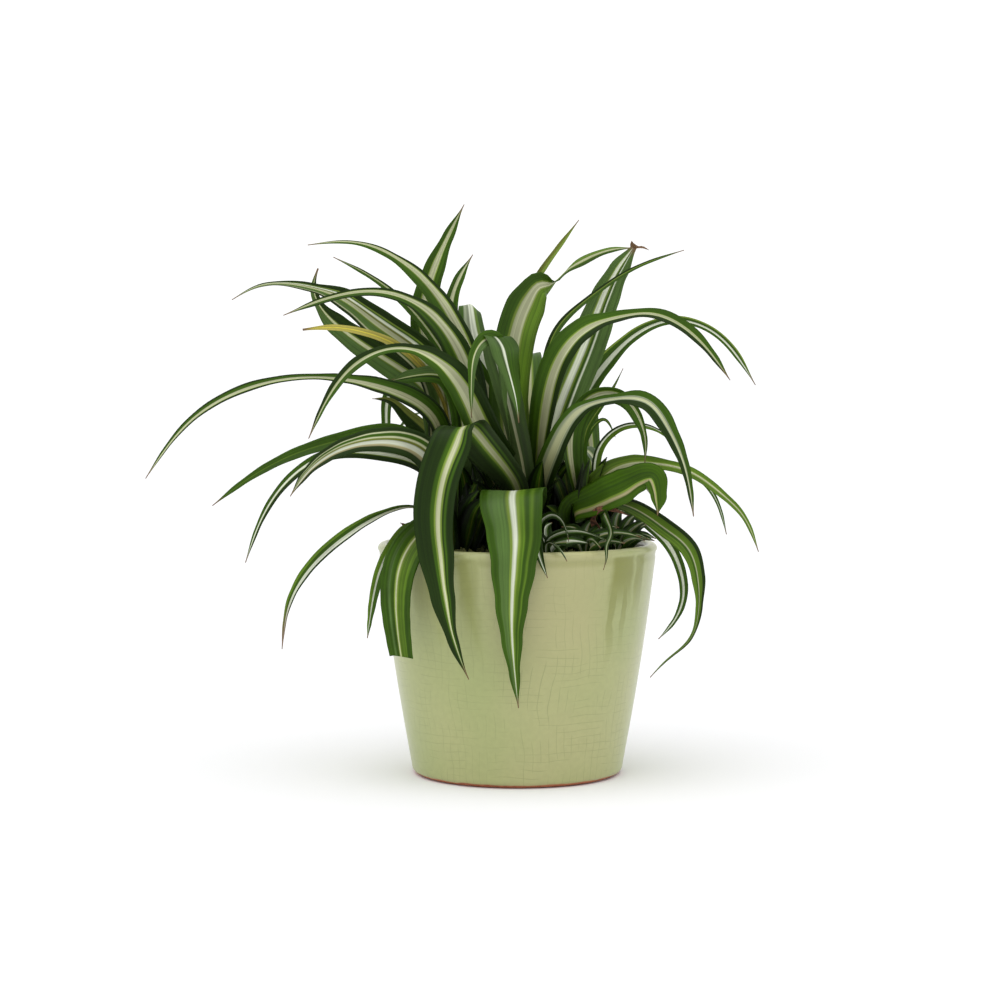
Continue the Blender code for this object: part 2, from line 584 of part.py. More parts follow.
def make_plantlets(green, dry):
    """Join each plantlet's blades with the core that stands in the soil."""
    for plantlet in PLANTLETS:
        colour = dry if plantlet.name.startswith("flake") else green
        foot = SOIL_LEVEL - CORE_DEPTH + GAP
        profile = [(0, foot), (CORE_RADIUS * 0.6, foot), (CORE_RADIUS, foot + 2),
                   (CORE_RADIUS, CORE_TOP - 1.5), (CORE_RADIUS * 0.7, CORE_TOP), (0, CORE_TOP)]
        vertices, faces = turned(profile, CORE_SIDES)
        placed = [(x + plantlet.x, y + plantlet.y, z) for x, y, z in vertices]
        core = add_object(plantlet.name, placed, faces, colour)
        blades = bpy.data.collections.new(plantlet.name)
        bpy.context.scene.collection.children.link(blades)
        for spec in plantlet.blades:
            aim = np.array(spec.points[0], float) - (plantlet.x, plantlet.y, 0)
            outward = np.array([aim[0], aim[1], 0.0]) / math.hypot(aim[0], aim[1])
            root = np.array([plantlet.x, plantlet.y, CORE_TOP - 4]) + outward * 0.3 * CORE_RADIUS
            vertices, faces = leaf_mesh(leaf_sections(spec, [root, *spec.points], outward, SMALL_SEGMENTS))
            piece = add_object("blade", vertices, faces, colour)
            bpy.context.scene.collection.objects.unlink(piece)
            blades.objects.link(piece)
        join = core.modifiers.new("blades", "BOOLEAN")
        join.operation = "UNION"
        join.operand_type = "COLLECTION"
        join.collection = blades
        apply_and_drop(core, blades)
        smooth(core, 60)


def main():
    clear_scene()
    make_pot()
    holes = [(crown.x, crown.y, crown.radius + GAP, CROWN_DEPTH) for crown in CROWNS]
    holes += [(plantlet.x, plantlet.y, CORE_RADIUS + GAP, CORE_DEPTH) for plantlet in PLANTLETS]
    make_soil(holes)
    make_crowns()
    green = make_material("leaf", (0.045, 0.13, 0.02), 0.42)
    dry = make_material("leaf_dry", (0.07, 0.025, 0.012), 0.85)
    make_leaves(green)
    make_plantlets(green, dry)


main()
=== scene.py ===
import math
import random

import bmesh
import bpy
import numpy as np
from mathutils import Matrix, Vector, noise


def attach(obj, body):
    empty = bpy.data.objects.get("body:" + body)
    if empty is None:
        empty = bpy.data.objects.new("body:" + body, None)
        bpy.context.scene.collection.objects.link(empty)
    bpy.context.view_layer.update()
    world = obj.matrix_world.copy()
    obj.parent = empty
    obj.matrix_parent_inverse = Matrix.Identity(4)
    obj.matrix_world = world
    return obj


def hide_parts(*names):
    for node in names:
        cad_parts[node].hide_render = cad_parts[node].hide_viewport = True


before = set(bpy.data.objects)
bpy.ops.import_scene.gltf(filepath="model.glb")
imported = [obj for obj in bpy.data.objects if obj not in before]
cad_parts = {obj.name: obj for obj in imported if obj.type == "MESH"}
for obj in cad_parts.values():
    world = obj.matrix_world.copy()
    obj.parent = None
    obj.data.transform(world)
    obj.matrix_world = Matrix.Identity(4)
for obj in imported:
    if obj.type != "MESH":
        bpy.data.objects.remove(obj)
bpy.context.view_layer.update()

# The pot and the plant are worked out in millimetres and scaled down as each mesh is made.
# The middle of the pot's foot is the origin, and the plant's front looks along -Y.
mm = 0.001


def paint(red, green, blue):
    # screen values of 0 to 255 turned into the linear colour that shaders work in
    shares = [value / 255 for value in (red, green, blue)]
    return (*(s / 12.92 if s <= 0.04045 else ((s + 0.055) / 1.055) ** 2.4 for s in shares), 1.0)


def polar(radius, angle):
    return radius * math.cos(angle), radius * math.sin(angle)


def turnOutwards(mesh, weld=0.0):
    # faces look outwards; points closer than weld become one
    build = bmesh.new()
    build.from_mesh(mesh)
    if weld:
        bmesh.ops.remove_doubles(build, verts=build.verts, dist=weld)
    bmesh.ops.recalc_face_normals(build, faces=build.faces)
    build.to_mesh(mesh)
    build.free()
    mesh.shade_smooth()


def makeMesh(name, points, faces, uvs=None, under=None):
    # uvs and under hold one entry for each point
    mesh = bpy.data.meshes.new(name)
    mesh.from_pydata((np.array(points, float) * mm).tolist(), [], faces)
    turnOutwards(mesh)
    corners = np.zeros(len(mesh.loops), np.int32)
    mesh.loops.foreach_get("vertex_index", corners)
    if uvs is not None:
        layer = mesh.uv_layers.new(name="along")
        layer.data.foreach_set("uv", np.array(uvs, np.float32)[corners].ravel())
    if under is not None:
        mark = mesh.attributes.new("under", "FLOAT", "POINT")
        mark.data.foreach_set("value", np.array(under, np.float32))
    return mesh


def gridFaces(rows, columns, start=0):
    # faces of a sheet whose rows hold columns + 1 points
    width = columns + 1
    corners = [start + row * width + k for row in range(rows) for k in range(columns)]
    return [(a, a + 1, a + width + 1, a + width) for a in corners]


def tubeFaces(rows, sides):
    # faces of a tube of rings, closed at both ends
    faces = [tuple(range(sides))[::-1], tuple(range(rows * sides, (rows + 1) * sides))]
    for a in range(rows * sides):
        b = a + 1 if (a + 1) % sides else a + 1 - sides
        faces.append((a, b, b + sides, a + sides))
    return faces


def addObject(name, data):
    made = bpy.data.objects.new(name, data)
    bpy.context.scene.collection.objects.link(made)
    return made


def addPiece(mesh, material, node):
    # a piece stands for one node of the part and moves with its body
    mesh.materials.append(material)
    piece = addObject(mesh.name, mesh)
    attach(piece, "root")
    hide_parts(node)


def startMaterial(name):
    material = bpy.data.materials.new(name)
    material.use_nodes = True
    tree = material.node_tree
    return material, tree, tree.nodes["Principled BSDF"]


def feed(node, values):
    # values go to the sockets in order, or as a dictionary says; each is another node's output,
    # or a number or colour for the socket itself
    for key, value in values.items() if isinstance(values, dict) else enumerate(values):
        socket = node.inputs[key]
        if isinstance(value, bpy.types.NodeSocket):
            socket.id_data.links.new(value, socket)
        else:
            socket.default_value = value


def addNode(tree, kind, values=(), **settings):
    made = tree.nodes.new("ShaderNode" + kind)
    for key, value in settings.items():
        setattr(made, key, value)
    feed(made, values)
    return made


def treeOf(*values):
    # the node tree that one of the values comes from; the others may be plain numbers
    return next(value.id_data for value in values if isinstance(value, bpy.types.NodeSocket))


def objectPlace(tree):
    return addNode(tree, "TexCoord").outputs["Object"]


def split(vector):
    return list(addNode(vector.id_data, "SeparateXYZ", [vector]).outputs)


def combine(x, y, z=0.0):
    return addNode(treeOf(x, y, z), "CombineXYZ", [x, y, z]).outputs[0]


def maths(operation, first, second=0.0):
    return addNode(treeOf(first, second), "Math", [first, second], operation=operation).outputs[0]


def plus(first, second):
    return maths("ADD", first, second)


def times(first, second):
    return maths("MULTIPLY", first, second)


def swing(value, reach):
    # a value of 0 to 1 becomes a shift to either side
    return times(maths("SUBTRACT", value, 0.5), reach)


def distance(value, middle):
    return maths("ABSOLUTE", maths("SUBTRACT", value, middle))


def larger(first, second):
    return maths("MAXIMUM", first, second)


def spread(value, low, high, start=0.0, end=1.0):
    # value runs from low to high, the result eases from start to end
    values = [value, low, high, start, end]
    return addNode(treeOf(value), "MapRange", values, interpolation_type="SMOOTHSTEP").outputs[0]


def blend(share, first, second, how="MIX"):
    # sockets 6 and 7 are the two colours
    values = {0: share, 6: first, 7: second}
    made = addNode(treeOf(share, first, second), "Mix", values, data_type="RGBA", blend_type=how)
    return made.outputs[2]


def dim(colour, tone):
    return blend(1.0, colour, combine(tone, tone, tone), "MULTIPLY")


def cloud(place, scale, detail=2.0, rough=0.5):
    values = {"Vector": place, "Scale": scale, "Detail": detail, "Roughness": rough}
    return addNode(place.id_data, "TexNoise", values).outputs[0]


def dress(shader, colour, roughness, gloss=0.5):
    feed(shader, {"Base Color": colour, "Roughness": roughness, "Specular IOR Level": gloss})


def raiseBumps(shader, height, depth, strength=1.0):
    values = {"Strength": strength, "Distance": depth * mm, "Height": height}
    feed(shader, {"Normal": addNode(shader.id_data, "Bump", values).outputs[0]})


# The pot is a tapered wall with a rounded lip, glazed down to a bare clay foot.

pot = {
    "height": 103.4,
    "rimRadius": 62.5,
    "footRadius": 44.6,
    "footCorner": 3.6,
    "footEdge": 1.2,  # flat ring that the rounded corner starts from
    "sideStart": 2.7,  # how far the side is out when it leaves the foot's corner
    "bulge": 0.9,
    "lipHeight": 4.6,
    "groove": 0.5,
    "rimRound": 2.7,
    "wall": 5.4,
    "wallTop": 90.0,  # above here the inside runs straight to the rim
    "floor": 8.0,
    "sides": 240,
    "wobble": 0.12,  # hand-made unevenness of the wall
    "glazeFoot": 1.5,  # height where the glaze stops
    # where glaze collected below the lip, with painted shadows and reflections of the leaves in the same
    # streaks: angle from the front, half width in degrees, length, depth of colour
    "poolsAndLeafShadows": [(-43, 6, 34, 0.75), (-20, 5, 42, 0.4), (48, 8, 26, 0.9), (43.5, 1.8, 52, 0.7),
              (50, 1.8, 46, 0.8), (60, 4, 30, 0.7), (120, 6, 28, 0.7), (165, 5, 36, 0.6),
              (-110, 7, 30, 0.7), (-150, 4, 42, 0.6)],
    "blushAt": 0.545,  # share of the way round, 0.5 is the front
    "crackColumns": 84,  # upright cracks round the pot
    "crackRows": 0.3,  # level cracks per millimetre of height
    "sage": paint(158, 166, 108),
    "lightSage": paint(167, 172, 116),
    "tan": paint(176, 170, 124),
    "blush": paint(178, 168, 124),
    # olive of glaze collected below the lip, also used as painted leaf shadow and reflection
    "pooledAndLeafShade": paint(126, 130, 56),
    "crack": paint(116, 124, 76),
    # painted shade inside the pot below the rim
    "insideShade": paint(64, 60, 34),
    # painted highlight along the top of the rim
    "lip": paint(200, 202, 146),
    "clay": paint(150, 84, 54),
    "lightClay": paint(172, 104, 70),
}
grooveHeight = pot["height"] - pot["lipHeight"]


def sideRadius(height):
    share = (height - pot["footCorner"]) / (pot["height"] - pot["footCorner"])
    start = pot["footRadius"] + pot["sideStart"]
    return start + share * (pot["rimRadius"] - start) + pot["bulge"] * math.sin(math.pi * share)


def innerRadius(height):
    if height <= pot["wallTop"]:
        return sideRadius(height) - pot["wall"]
    share = (height - pot["wallTop"]) / (pot["height"] - pot["rimRound"] - pot["wallTop"])
    low = sideRadius(pot["wallTop"]) - pot["wall"]
    return low + share * (pot["rimRadius"] - 2 * pot["rimRound"] - low)


def potProfile():
    # from the middle of the foot up the side, over the rim and down to the inner floor
    foot, corner, edge = pot["footRadius"], pot["footCorner"], pot["footEdge"]
    outline = [(0, 0.4), (foot * 0.5, 0.4), (foot - 5.0, 0.4), (foot - 3.0, 0.1), (foot - edge, 0.0)]
    for k in range(1, 10):
        turn = math.pi / 2 * k / 9
        out = foot - edge + (pot["sideStart"] + edge) * math.sin(turn)
        outline.append((out, corner * (1 - math.cos(turn))))
    top = pot["height"] - pot["rimRound"]
    for height in np.linspace(corner, top, 76)[1:]:
        dip = math.exp(-((height - grooveHeight) / 0.9) ** 2) * pot["groove"] * 0.9
        lip = 0.25 * math.exp(-((height - grooveHeight - 2.4) / 1.4) ** 2)
        outline.append((min(sideRadius(height), pot["rimRadius"]) - dip + lip, height))
    for k in range(1, 20):
        turn = math.pi * k / 20
        out = pot["rimRadius"] - pot["rimRound"] * (1 - math.cos(turn))
        outline.append((out, top + pot["rimRound"] * math.sin(turn)))
    for height in np.linspace(top, pot["floor"] + 4, 24):
        outline.append((innerRadius(height), height))
    return outline + [(innerRadius(pot["floor"]) - 3, pot["floor"]), (0, pot["floor"])]


def turnedMesh(name, outline):
    # u runs once round from the back, v is the length along the outline in metres
    points, uvs = [], []
    sides, run = pot["sides"], 0.0
    for row, (radius, height) in enumerate(outline):
        if row:
            run += math.dist(outline[row - 1], outline[row]) * mm
        for k in range(sides + 1):
            angle = 2 * math.pi * k / sides + math.pi / 2
            out = noise.noise(Vector((*polar(1.5, angle), height * 0.03)))
            points.append((*polar(radius + pot["wobble"] * out * min(1, radius / 20), angle), height))
            uvs.append((k / sides, run))
    mesh = makeMesh(name, points, gridFaces(len(outline) - 1, sides), uvs)
    turnOutwards(mesh, 1e-6)
    return mesh


def pooledGlazeAndShade(place, around, height):
    # glaze that ran and collected below the lip, with painted shadows and reflections of the leaves in the
    # same streaks, and painted shade along the groove
    turn = plus(around, swing(cloud(place, 60, 2), 0.02))
    pooledAndLeafShade = 0.0
    for angle, half, length, depth in pot["poolsAndLeafShadows"]:
        off = distance(turn, 0.5 + angle / 360)
        side = spread(off, half / 360 * 0.6, half / 360 * 1.15, 1.0, 0.0)
        down = spread(height, grooveHeight - length, grooveHeight - length * 0.25)
        pooledAndLeafShade = larger(pooledAndLeafShade, times(times(side, down), depth))
    # painted shade along the groove under the lip
    grooveShade = spread(distance(height, grooveHeight - 0.3), 0.4, 2.6, 1.0, 0.0)
    below = spread(height, grooveHeight + 0.7, grooveHeight + 2.2, 1.0, 0.0)
    return larger(times(pooledAndLeafShade, below), times(grooveShade, 0.3))


def fineCracks(place, around, height):
    # broken lines that run level and upright
    crack = 0.0
    for course, count, seed in ((height, pot["crackRows"], 3.0), (around, pot["crackColumns"], 8.0)):
        aside = addNode(place.id_data, "VectorMath", [place, (seed, seed, seed)], operation="ADD").outputs[0]
        jolt = swing(cloud(aside, 48, 1), 1.7)
        steps = plus(times(course, count), jolt)
        off = distance(maths("FRACT", steps), 0.5)
        broken = spread(cloud(aside, 85, 1), 0.44, 0.54)
        crack = larger(crack, times(spread(off, 0.0, 0.055, 1.0, 0.0), broken))
    return crack


def crackledGlaze():
    material, tree, shader = startMaterial("pot_glaze")
    place = objectPlace(tree)
    x, y, height = [times(part, 1 / mm) for part in split(place)]
    around = split(addNode(tree, "UVMap", uv_map="along").outputs[0])[0]

    # sage with warmer and cooler clouds, and a warmer blush on the upper front
    warm = spread(cloud(place, 20, 1), 0.3, 0.7)
    colour = blend(warm, pot["sage"], pot["lightSage"])
    tan = spread(cloud(place, 9, 2), 0.45, 0.7, 0.0, 0.45)
    colour = blend(tan, colour, pot["tan"])
    colour = dim(colour, spread(cloud(place, 420, 2), 0.35, 0.65, 0.975, 1.02))
    blushSide = spread(distance(around, pot["blushAt"]), 0.02, 0.11, 1.0, 0.0)
    blush = times(blushSide, spread(height, 35, 75, 0.0, 0.5))
    colour = blend(blush, colour, pot["blush"])
    # real glaze pooling mixed with painted leaf shadows and reflections and painted groove shade
    colour = blend(pooledGlazeAndShade(place, around, height), colour, pot["pooledAndLeafShade"])

    crack = fineCracks(place, around, height)
    patchy = spread(cloud(place, 20, 2), 0.25, 0.6, 0.2, 0.46)
    lower = spread(height, 50, 95, 1.0, 0.45)
    colour = blend(times(times(crack, patchy), lower), colour, pot["crack"])

    # painted shade darkens the inside below the rim, a painted highlight runs along the top of the rim, the
    # foot is bare
    across = addNode(tree, "VectorMath", [combine(x, y)], operation="LENGTH").outputs["Value"]
    within = spread(across, pot["rimRadius"] - 4.7, pot["rimRadius"] - 3.3, 1.0, 0.0)
    # painted shade inside the pot, below the rim
    insideShade = times(within, spread(height, pot["wallTop"] - 5, pot["wallTop"], 0.0, 0.8))
    colour = blend(insideShade, colour, pot["insideShade"])
    # painted highlight along the top of the rim
    lip = spread(height, pot["height"] - 1.6, pot["height"] - 0.2, 0.0, 0.4)
    colour = blend(lip, colour, pot["lip"])
    edge = plus(height, swing(cloud(place, 90, 2), 1.6))
    bare = spread(edge, pot["glazeFoot"] - 0.3, pot["glazeFoot"] + 0.3, 1.0, 0.0)
    clay = blend(spread(cloud(place, 300, 3), 0.4, 0.6), pot["clay"], pot["lightClay"])
    dress(shader, blend(bare, colour, clay), plus(times(bare, 0.5), 0.3))
    feed(shader, {"Coat Weight": 0.12, "Coat Roughness": 0.08})
    raiseBumps(shader, plus(times(crack, -0.12), cloud(place, 70, 2)), 0.25, 0.5)
    return material


addPiece(turnedMesh("pot_glazed", potProfile()), crackledGlaze(), "pot")
print("pot turned and glazed")


# The soil is lumpy peat with crumbs and bits of fibre.

soil = {
    "level": 98.0,
    "wave": 0.9,
    "edgeDrop": 1.56,  # how much lower it meets the wall
    "rings": 70,
    "sides": 220,
    "grain": 0.9,  # height of the fine lumps
    "crumbs": 420,
    "crumbSize": (0.5, 1.9),
    "depth": 6.0,
    "peat": paint(14, 11, 7),
    "lightPeat": paint(40, 30, 20),
    "fibre": paint(84, 66, 44),
}


def soilHeight(x, y):
    edge = (math.hypot(x, y) / innerRadius(soil["level"])) ** 4
    lumps = math.sin(x * 0.21 + 1.0) * math.cos(y * 0.17 - 0.6) + 0.5 * math.sin(x * 0.43 - y * 0.37)
    return soil["level"] + soil["wave"] * lumps - soil["edgeDrop"] * edge


def soilMesh():
    points = []
    rim = innerRadius(soil["level"]) - 0.2
    sides, rings = soil["sides"], soil["rings"]
    for ring in range(rings + 1):
        radius = rim * (ring + 0.4) / (rings + 0.4)
        for k in range(sides):
            x, y = polar(radius, 2 * math.pi * k / sides)
            grain = noise.fractal(Vector((x * 0.45, y * 0.45, 0)), 0.7, 2.0, 5)
            points.append((x, y, soilHeight(x, y) + soil["grain"] * grain))
    for k in range(sides):
        points.append((*polar(rim, 2 * math.pi * k / sides), soil["level"] - soil["depth"]))
    faces = tubeFaces(rings + 1, sides)
    dice = random.Random(11)
    for count in range(soil["crumbs"]):
        angle = dice.uniform(0, 2 * math.pi)
        radius = rim * math.sqrt(dice.random()) * 0.97
        size = dice.uniform(*soil["crumbSize"])
        x, y = polar(radius, angle)
        crumb = bmesh.new()
        bmesh.ops.create_icosphere(crumb, subdivisions=2, radius=size)
        stretch = (dice.uniform(0.6, 1.6), dice.uniform(0.6, 1.3), dice.uniform(0.5, 1.0))
        start = len(points)
        for corner in crumb.verts:
            swell = 1 + 0.35 * noise.noise(corner.co * 0.9 / size + Vector((count, 0, 0)))
            spot = [corner.co[i] * stretch[i] * swell for i in range(3)]
            points.append((x + spot[0], y + spot[1], soilHeight(x, y) + 0.3 * size + spot[2]))
        faces += [tuple(start + corner.index for corner in face.verts) for face in crumb.faces]
        crumb.free()
    return makeMesh("soil_top", points, faces)


def darkPeat():
    material, tree, shader = startMaterial("soil")
    place = objectPlace(tree)
    peat = spread(cloud(place, 260, 4), 0.38, 0.66)
    colour = blend(peat, soil["peat"], soil["lightPeat"])
    straw = spread(cloud(place, 520, 2), 0.64, 0.72, 0.0, 0.6)
    dress(shader, blend(straw, colour, soil["fibre"]), 0.92)
    raiseBumps(shader, cloud(place, 900, 4), 0.35)
    return material


addPiece(soilMesh(), darkPeat(), "soil")
print("soil filled in")


# The blades share one way to sweep a leaf along its midrib and to paint its stripes.

palette = {
    "deep": paint(30, 50, 6),
    "green": paint(54, 84, 12),
    "bright": paint(84, 114, 28),
    "lime": paint(116, 138, 54),
    "olive": paint(98, 106, 40),
    # painted sheen: the bluish tone that light reflected off the upper face gives
    "blue": paint(74, 100, 46),
    "grey": paint(140, 150, 122),
    "beige": paint(158, 152, 112),
    "cream": paint(180, 184, 146),
    "white": paint(206, 212, 190),
    "dry": paint(116, 90, 66),
    # painted shade deep in the crown, used near the roots and on the heart blades
    "dark": paint(14, 24, 6),
    "lit": paint(56, 86, 6),  # light shining through the blade
    "yellow": paint(206, 194, 74),
    "pale": paint(180, 170, 84),
}

bladeLook = {
    "rootFold": 34,  # degrees that the halves fold up at the root
    "ridge": 0.015,  # how round the fold is along the midrib
    "thick": 0.5,
    "tipWidth": 0.35,
    "cutSlant": 1.5,
    "veins": 46,  # fine lines from edge to edge
    "roughness": (0.35, 0.48),
    "gloss": 0.13,
    "shade": (0.34, 0.32, 0.16, 1.0),  # what the blade keeps of its colour deep in the crown
}

usualBlade = {  # what a blade has where its own row says nothing else
    "front": (0.5, 0.85, 0.85),  # how far the upper face turns to the front, 0 to 1, root to tip
    "twist": 0,  # degrees added to that
    "face": None,  # instead of front: where the upper face looks at shares of the length
    "fold": 14,  # degrees that the halves fold up
    "base": 0.7,  # share of a single width at the root
    "widest": 0.3,  # where a single width is reached
    "taper": 1.7,  # how late it narrows to the tip
    "cut": False,  # blunt end
    "waver": 4.0,  # degrees that it rolls to and fro
    "ripple": 0.0,  # waves of the edges
    "tip": 0.955,  # where the dry tip starts, 1 for none
    "narrowing": 1.3,  # how far the middle stripes thin out
    "dimTo": 0.52,  # how far up the crown's shade reaches
    "curls": (),  # shrivelled ends: width and points
    "stations": 84,
    "columns": 14,
}


def splineThrough(points):
    # natural cubic spline, read at 0 to 1 of its chord length
    points = np.array(points, float)
    knots = np.concatenate([[0.0], np.cumsum(np.linalg.norm(np.diff(points, axis=0), axis=1))])
    gap = np.diff(knots)
    count = len(points)
    matrix = np.eye(count)
    right = np.zeros_like(points)
    slope = np.diff(points, axis=0) / gap[:, None]
    for i in range(1, count - 1):
        matrix[i, i - 1:i + 2] = gap[i - 1], 2 * (gap[i - 1] + gap[i]), gap[i]
        right[i] = 3 * (slope[i] - slope[i - 1])
    bend = np.linalg.solve(matrix, right)

    def read(share):
        at = np.atleast_1d(share) * knots[-1]
        i = np.clip(np.searchsorted(knots, at, side="right") - 1, 0, count - 2)
        t = (at - knots[i])[:, None]
        h = gap[i][:, None]
        first = slope[i] - h * (2 * bend[i] + bend[i + 1]) / 3
        return points[i] + first * t + bend[i] * t ** 2 + (bend[i + 1] - bend[i]) / (3 * h) * t ** 3

    return read


def midrib(points, stations):
    # evenly spaced spots along the curve
    fine = splineThrough(points)(np.linspace(0, 1, 600))
    runs = np.linalg.norm(np.diff(fine, axis=0), axis=1)
    length = np.concatenate([[0.0], np.cumsum(runs)])
    share = np.linspace(0, 1, stations + 1)
    return np.array([np.interp(share * length[-1], length, fine[:, k]) for k in range(3)]).T, share


def carriedFrames(spots, outward):
    # a side direction carried along without twist, with the upper face away from the crown
    tangents = np.gradient(spots, axis=0)
    tangents /= np.linalg.norm(tangents, axis=1)[:, None]
    side = np.array([-outward[1], outward[0], 0.0])
    sides = []
    for tangent in tangents:
        side = side - side.dot(tangent) * tangent
        side /= np.linalg.norm(side)
        sides.append(side)
    sides = np.array(sides)
    return tangents, sides, np.cross(tangents, sides)


def turnsTo(tangents, sides, normals, looks):
    # the angle about the midrib that turns the upper face towards each look
    turns = []
    for tangent, side, normal, look in zip(tangents, sides, normals, looks):
        facing = look - look.dot(tangent) * tangent
        turns.append(math.atan2(-facing.dot(side), facing.dot(normal)))
    return np.unwrap(turns)


def looksAlong(face, share):
    at = [place for place, _ in face]
    looks = np.array([look for _, look in face], float)
    return np.array([np.interp(share, at, looks[:, k]) for k in range(3)]).T


def easeIn(share, start, end):
    t = np.clip((share - start) / (end - start), 0.0, 1.0)
    return t * t * (3 - 2 * t)


def keyed(values, share):
    # values stand evenly along the leaf and are eased into each other
    values = np.atleast_1d(np.array(values, float))
    if len(values) == 1:
        return np.full(len(share), values[0])
    at = np.clip(share, 0, 1) * (len(values) - 1)
    low = np.clip(at.astype(int), 0, len(values) - 2)
    part = easeIn(at - low, 0, 1)
    return values[low] * (1 - part) + values[low + 1] * part


def bladeWidth(leaf, share):
    if isinstance(leaf["width"], tuple):
        return np.maximum(keyed(leaf["width"], share), bladeLook["tipWidth"])
    root = leaf["width"] * leaf["base"]
    rise = root + (leaf["width"] - root) * easeIn(share, 0.0, leaf["widest"])
    beyond = np.clip((share - leaf["widest"]) / (1 - leaf["widest"]), 0.0, 1.0)
    return np.maximum(rise * (1 - beyond ** leaf["taper"]), bladeLook["tipWidth"])


def bladePoints(leaf, path, outward):
    # upper and lower faces as two grids, joined round their edges
    stations, columns = leaf["stations"], leaf["columns"]
    spots, share = midrib(path, stations)
    tangents, sides, normals = carriedFrames(spots, outward)
    if leaf["face"]:
        roll = turnsTo(tangents, sides, normals, looksAlong(leaf["face"], share))
    else:
        front = np.tile([0.0, -1.0, 0.12], (len(share), 1))
        roll = turnsTo(tangents, sides, normals, front) * keyed(leaf["front"], share)
    roll += np.radians(keyed(leaf["twist"], share) + leaf["waver"] * np.sin(share * 9 + len(path)))
    width = bladeWidth(leaf, share)
    fold = np.radians(keyed((bladeLook["rootFold"], leaf["fold"], leaf["fold"], leaf["fold"]), share))
    across = sides * np.cos(roll)[:, None] + normals * np.sin(roll)[:, None]
    up = normals * np.cos(roll)[:, None] - sides * np.sin(roll)[:, None]
    # columns run from the left edge, or from the upper edge where the leaf runs level half way
    middle = stations // 2
    level = abs(tangents[middle][2]) < abs(tangents[middle][0])
    swap = across[middle][2] > 0 if level else across[middle][0] < 0
    upper, lower, uvs = [], [], []
    for i, spot in enumerate(spots):
        half = width[i] / 2
        for j in range(columns + 1):
            s = 2 * j / columns - 1
            soft = math.sqrt(s * s + bladeLook["ridge"]) - math.sqrt(bladeLook["ridge"])
            lift = half * math.sin(fold[i]) * (soft - 0.12 * s ** 4)
            lift += leaf["ripple"] * abs(s) ** 3 * math.sin(share[i] * 31 + s * 2)
            slant = tangents[i] * bladeLook["cutSlant"] * s if leaf["cut"] and i == stations else 0
            top = spot + across[i] * half * math.cos(fold[i]) * s + up[i] * lift + slant
            upper.append(top)
            lower.append(top - up[i] * min(bladeLook["thick"], 0.6 * width[i]) * (1 - 0.75 * s * s))
            uvs.append((1 - j / columns if swap else j / columns, share[i]))
    return upper, lower, uvs, stations, columns


def bladeMesh(name, blades):
    # one mesh of any number of blades, each as bladePoints gives it
    points, uvs, under, faces = [], [], [], []
    for upper, lower, across, stations, columns in blades:
        start, size, row = len(points), len(upper), columns + 1
        points += upper + lower
        uvs += across + across
        under += [0.0] * size + [1.0] * size
        faces += gridFaces(stations, columns, start) + gridFaces(stations, columns, start + size)
        edge = [(start + i * row + k, row) for i in range(stations) for k in (0, columns)]
        edge += [(start + i * row + k, 1) for i in (0, stations) for k in range(columns)]
        faces += [(a, a + step, a + step + size, a + size) for a, step in edge]
    return makeMesh(name, points, faces, uvs, under)


def stripeRamp(tree, across, stripes):
    # stripes name colours of the palette with their shares of the width
    ramp = addNode(tree, "ValToRGB", [across])
    bands = [part.split() for part in stripes.split(",")]
    total = sum(float(share) for _, share in bands)
    stops = []
    edge = 0.0
    for colour, share in bands:
        size = float(share) / total
        soft = min(0.03, size * 0.4)
        stops += [(edge + soft, palette[colour]), (edge + size - soft, palette[colour])]
        edge += size
    ramp.color_ramp.interpolation = "EASE"
    elements = ramp.color_ramp.elements
    elements[0].position, elements[0].color = stops[0]
    elements[1].position, elements[1].color = stops[-1]
    for position, colour in stops[1:-1]:
        elements.new(position).color = colour
    return ramp.outputs[0]


def stripedBlade(name, stripes, tip, seed, narrowing, dimTo):
    material, tree, shader = startMaterial(name)
    across, along, _ = split(addNode(tree, "UVMap", uv_map="along").outputs[0])

    def streaks(wide, long, shift=0, detail=2.0, rough=0.5):
        return cloud(combine(times(across, wide), times(along, long), seed + shift), 1.0, detail, rough)

    drift = streaks(2, 5)
    shifted = plus(across, swing(drift, 0.05))
    thinner = swing(shifted, spread(along, 0.3, 0.95, 1.0, narrowing))
    colour = stripeRamp(tree, plus(thinner, 0.5), stripes)

    # fine veins and broader tones run the length of the blade, blotches lie across it
    vein = streaks(bladeLook["veins"], 3, 0, 3.0, 0.6)
    broad = streaks(13, 1, 9, 1.0)
    blotch = streaks(1, 7, 4)
    for tone, low, high in ((vein, 0.84, 1.12), (broad, 0.78, 1.2), (blotch, 0.88, 1.1)):
        colour = dim(colour, spread(tone, 0.3, 0.7, low, high))

    # painted shade darkens the blade towards the crown, it is dry at the tip and greyer below
    shadeToCrown = spread(along, dimTo - 0.4, dimTo, 0.86, 0.0)
    colour = blend(shadeToCrown, colour, bladeLook["shade"], "MULTIPLY")
    # painted shade near the root, where the leaves crowd
    colour = blend(spread(along, 0.0, 0.25, 0.8, 0.0), colour, palette["dark"])
    if tip < 1:
        end = spread(plus(along, swing(drift, 0.03)), tip, 1.0)
        colour = blend(end, colour, palette["dry"])
    under = addNode(tree, "Attribute", attribute_name="under").outputs["Fac"]
    colour = blend(times(under, 0.04), colour, palette["grey"])
    dress(shader, colour, spread(vein, 0.3, 0.7, *bladeLook["roughness"]), bladeLook["gloss"])
    raiseBumps(shader, vein, 0.12, 0.6)
    return material


# The leaves are listed crown by crown.

